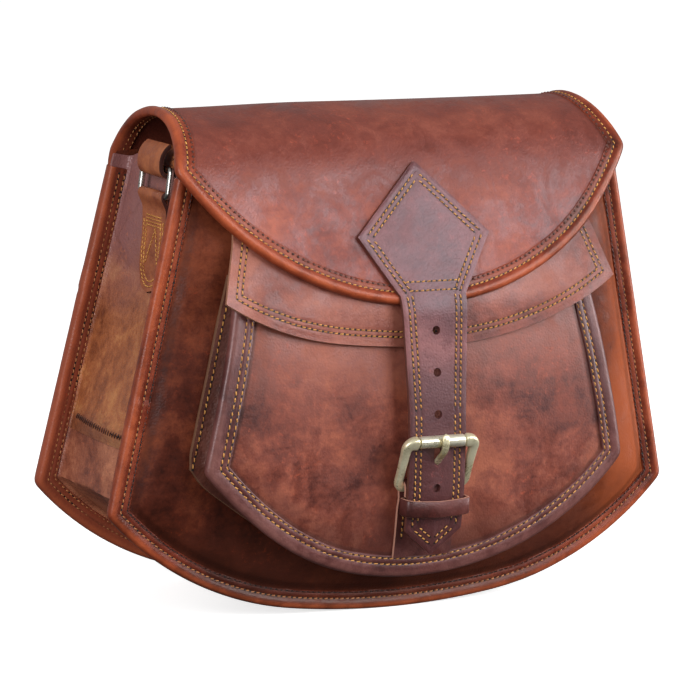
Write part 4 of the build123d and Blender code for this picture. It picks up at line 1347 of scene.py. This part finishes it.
frame_line = buckle_line()
frame_line = np.column_stack([frame_line, np.zeros(len(frame_line))])
along = run_of(frame_line)
from_end = np.minimum(along, along[-1] - along)
heel_part = ramp(np.abs(frame_line[:, 0]), 16.6, 12.0) * (frame_line[:, 1] < 6)
cap = np.sqrt(np.clip(1 - (1 - np.clip(from_end / 0.9, 0, 1)) ** 2, 0.55, 1))
wide = (2.35 + 0.85 * ramp(from_end, 11.0, 1.0) - 0.35 * bump(from_end, 20, 8)) * (1 - heel_part) + 1.55 * heel_part
deep = (1.7 + 0.9 * ramp(from_end, 9.0, 1.0)) * (1 - heel_part) + 1.55 * heel_part
frame_line[:, 2] = 0.2 * bump(from_end, 0, 6)
frame_piece = bar("metal_buckle_frame", frame_line, np.stack([wide * cap, deep * cap], 1), BRASS)
pin_line = [(u, HEIGHT, 0.25) for u in np.linspace(-13.2, 13.2, 12)]
pin = bar("metal_roller_pin", pin_line, [(1.45, 1.45)] * 12, BRASS, power=1.0)
frame_piece = join("metal_buckle_frame", [frame_piece, pin])
finish(frame_piece, "buckle", ["buckle_frame"])


def roller():
    """Sheet-metal roller: rounded ends, a bore and a fine joint along its back."""
    profile = [(-12.0, 2.0), (-12.0, 2.5), (-11.8, 2.85), (-11.4, 3.0), (-10.6, 3.05), (0.0, 3.02), (10.6, 3.05),
               (11.4, 3.0), (11.8, 2.85), (12.0, 2.5), (12.0, 2.0), (11.0, 1.85), (0.0, 1.85), (-11.0, 1.85)]
    turn = turns(56)
    grid = np.array([[(u, r * cos(t), r * sin(t)) for u, r in profile] for t in turn])
    grid[..., 1] *= 1.0 - 0.03 * bump(turn, pi, 0.12)[:, None]
    places = np.stack([BILLET_X + grid[..., 0], ROLLER[0] + grid[..., 1], ROLLER[1] + grid[..., 2]], -1)
    faces = grid_faces(*places.shape[:2], wrap=True, closed=True)
    return outward(make_mesh("metal_buckle_roller", places, faces, BRIGHT), 40)


finish(roller(), "roller", ["buckle_roller"])


def prong():
    """Prong: an eye on the heel bar, a shank up through the billet, a flattened tip on the roller."""
    eye = arc(HEEL, 2.3, np.linspace(-0.6 * pi, 0.55 * pi, 16))
    shank = [(-84.4, 73.0), (-87.4, 79.0), (-91.6, 82.6), (-95.3, 85.6), (-96.9, 89.0), (-96.9, 92.0), (-96.2, 94.6)]
    line = smooth_path(eye + shank, 0.6, 8)
    span = run_of(line)
    left = span[-1] - span
    along = heading(line)
    across = np.stack([-along[:, 1], along[:, 0]], 1)
    a, c = rounded(turns(20), 0.75)
    close = np.sqrt(np.clip(1 - (1 - np.clip(left / 1.8, 0, 1)) ** 2, 0.05, 1))
    close = close * np.sqrt(np.clip(1 - (1 - np.clip(span / 1.0, 0, 1)) ** 2, 0.05, 1))
    half = 1.75 * close
    deep = (1.1 - 0.15 * ramp(left, 6, 0)) * close
    deep[span < 9] *= 0.62
    grid = [[(BILLET_X + half[k] * p, *(line[k] + across[k] * deep[k] * q)) for p, q in zip(a, c)]
            for k in range(len(line))]
    return tube("metal_buckle_prong", np.array(grid), BRASS)


finish(prong(), "prong", ["buckle_prong"])

# Rings, tabs and shoulder strap

for name, side in (("left", -1), ("right", 1)):
    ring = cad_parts[f"ring_{name}"]
    ring.data.materials.clear()
    ring.data.materials.append(NICKEL)

    wall = gusset_side(side)

    def sided(points):
        return [(side * x, z) for x, z in points]

    def on_wall(levels, off):
        return [(abs(float(wall(np.array(side * SIDE_Y), np.array(float(k)))[0])) + off, k) for k in levels]

    eye = arc(RING_LOW, 2.75, np.linspace(-0.2 * pi, 1.15 * pi, 18))
    outer = on_wall((157, 163, 170, 177, 183), 3.4) + on_wall((190,), 4.2) + [(114.4, 197.5)]
    inner = [(112.0, 199.0)] + on_wall((190,), 1.4) + on_wall((183, 177, 170, 163, 158), 1.3)
    tab = Ribbon(sided(outer + eye + inner), side=-side, centre=SIDE_Y, step=1.2, rounds=4)
    whole = tab.whole()

    def tab_half(m):
        end = min(m, whole - m)
        return max(TAB_REACH * sqrt(max(1 - (1 - min(end / TAB_REACH, 1)) ** 2, 0.0)), 0.5)

    tab_piece = tab.sheet(f"leather_ring_tab_{name}", tab_half, 1.8, STRAP, 25)
    finish(tab_piece, "bag", [f"ring_tab_{name}"])
    tab_rows = []
    for inset in (2.6, 5.2):
        r = TAB_REACH - inset
        low = [(-r * cos(t), -(TAB_REACH - r * sin(t))) for t in np.linspace(0, pi, 30)]
        tab_rows.append(seam(tab, even(np.array([(-r, -36.0)] + low + [(r, -36.0)]), 0.7), 0.05))
    tab_rows += [seam(tab, np.array([[-10.5, -level], [10.5, -level]]), 0.05) for level in (32.0, 33.6, 35.2, 36.8)]
    tab_rows.append(seam(tab, np.array([[-7.5, -12.0], [-2.0, -31.0], [7.5, -12.0]]), 0.05))
    finish(sew(f"stitches_ring_tab_{name}", tab_rows, GOLD, 2.2, False), "bag")

    loop = arc(RING_TOP, 2.85, np.linspace(0, -pi, 14))
    outside = [(111.4, 227.6), (113.6, 226.0), (115.6, 222.5)]
    over = [(109.2, 222.0), (107.4, 226.0), (104.4, 227.7), (101.8, 225.6)]
    end = Ribbon(sided(outside + loop + over), side=-side, centre=SIDE_Y, step=1.0, rounds=5)
    end_piece = end.sheet(f"leather_strap_end_{name}", lambda m: STRAP_HALF, 2.2, STRAP, 15)
    end_rows = sew(f"stitches_strap_end_{name}", pair_of_rows(end, STRAP_ROW, -1.5, -end.whole() + 3, 0.05), TAN)
    for piece in (end_piece, end_rows):
        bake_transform(piece)
    finish(end_piece, None, [f"strap_end_{name}"])

drop = [(104.6, 226.4), (102.4, 224.0), (101.8, 212.0), (104.0, 190.0), (106.2, 165.0), (111.0, 140.0), (118.5, 112.0),
        (113.0, 84.0)]
route = [(-x, z) for x, z in drop] + [(-101.0, 56.0), (-88.0, 33.0), (-78.0, 27.2)]
for k, level in enumerate((27.2, 34.2, 41.2, 48.2, 55.2)):
    way = 1 if k % 2 == 0 else -1
    route += [(way * x, level + 0.4 * sin(x * 0.07 + k)) for x in (-70, -40, -10, 20, 50, 70)]
    if level < 55:
        route += [(way * (70 + 3.5 * sin(t)), level + 3.5 - 3.5 * cos(t)) for t in np.linspace(0, pi, 9)[1:-1]]
route += [(84.0, 56.5), (101.0, 63.0)] + drop[::-1]
strap = Ribbon(route, side=1, centre=SIDE_Y, step=2.0, rounds=10)
strap_piece = strap.sheet("leather_shoulder_strap", lambda m: STRAP_HALF, 2.3, STRAP, 15)
finish(strap_piece, "bag", ["shoulder_strap"])
strap_rows = pair_of_rows(strap, STRAP_ROW, -2.0, -strap.whole() + 2, 0.05)
finish(sew("stitches_shoulder_strap", strap_rows, TAN, 3.4), "bag")

# ---------------------------------------------------------------------------------------------
# Studio

FLOOR_HALF, FLOOR_POINTS = 30000.0, 25
a = np.linspace(-FLOOR_HALF, FLOOR_HALF, FLOOR_POINTS)
gx, gy = np.meshgrid(a, a)
floor = make_mesh("studio_floor", np.stack([gx, gy, np.zeros_like(gx)], -1), grid_faces(FLOOR_POINTS, FLOOR_POINTS),
                  paper("studio_paper", (0.86, 0.86, 0.86)))
floor.visible_diffuse = floor.visible_glossy = False


def softbox(name, place, aim, size, power):
    lamp = bpy.data.lights.new(name, "AREA")
    lamp.shape, lamp.size, lamp.size_y = "RECTANGLE", *size
    lamp.energy = power
    holder = bpy.data.objects.new(name, lamp)
    holder.location = place
    holder.rotation_euler = (Vector(aim) - Vector(place)).to_track_quat("-Z", "Y").to_euler()
    bpy.context.scene.collection.objects.link(holder)


middle = (0.0, 0.02, 0.12)
softbox("front_softbox", (0.85, -1.5, 0.9), middle, (1.2, 1.0), 25)
softbox("left_softbox", (-1.6, -0.95, 0.75), middle, (0.8, 1.2), 24)
softbox("right_softbox", (1.5, -0.55, 0.4), middle, (0.6, 1.0), 17)
world = bpy.data.worlds.new("studio_world")
bpy.context.scene.world = world
world.use_nodes = True
sky = world.node_tree.nodes
gradient = sky.new("ShaderNodeMapRange")
height = sky.new("ShaderNodeSeparateXYZ")
world.node_tree.links.new(sky.new("ShaderNodeTexCoord").outputs["Generated"], height.inputs[0])
world.node_tree.links.new(height.outputs["Z"], gradient.inputs["Value"])
for key, value in (("From Min", -0.45), ("From Max", 0.1), ("To Min", 0.06), ("To Max", 0.36)):
    gradient.inputs[key].default_value = value
world.node_tree.links.new(gradient.outputs[0], sky["Background"].inputs["Strength"])
sky["Background"].inputs["Color"].default_value = (1, 1, 1, 1)

SENSOR, FOCAL_PIXELS, FRAME_PIXELS = 36.0, 4020, 700
camera = bpy.data.cameras.new("photo_camera")
camera.sensor_fit, camera.sensor_width = "HORIZONTAL", SENSOR
camera.lens = FOCAL_PIXELS / FRAME_PIXELS * SENSOR
camera.clip_start, camera.clip_end = 0.1, 30
holder = bpy.data.objects.new("photo_camera", camera)
azimuth, elevation, roll, distance = radians(-27.4), radians(9.4), radians(1.35), 2.0
backward = Vector((sin(azimuth) * cos(elevation), -cos(azimuth) * cos(elevation), sin(elevation)))
rightward = Vector((0, 0, 1)).cross(backward).normalized()
upward = backward.cross(rightward)
right_2 = cos(roll) * rightward + sin(roll) * upward
up_2 = -sin(roll) * rightward + cos(roll) * upward
target = Vector(point(0.0, 120.3, -0.8))
turned = Matrix((right_2, up_2, backward)).transposed().to_4x4()
holder.matrix_world = Matrix.Translation(target + backward * distance) @ turned
bpy.context.scene.collection.objects.link(holder)
bpy.context.scene.camera = holder
bpy.context.scene.view_settings.view_transform = "Standard"
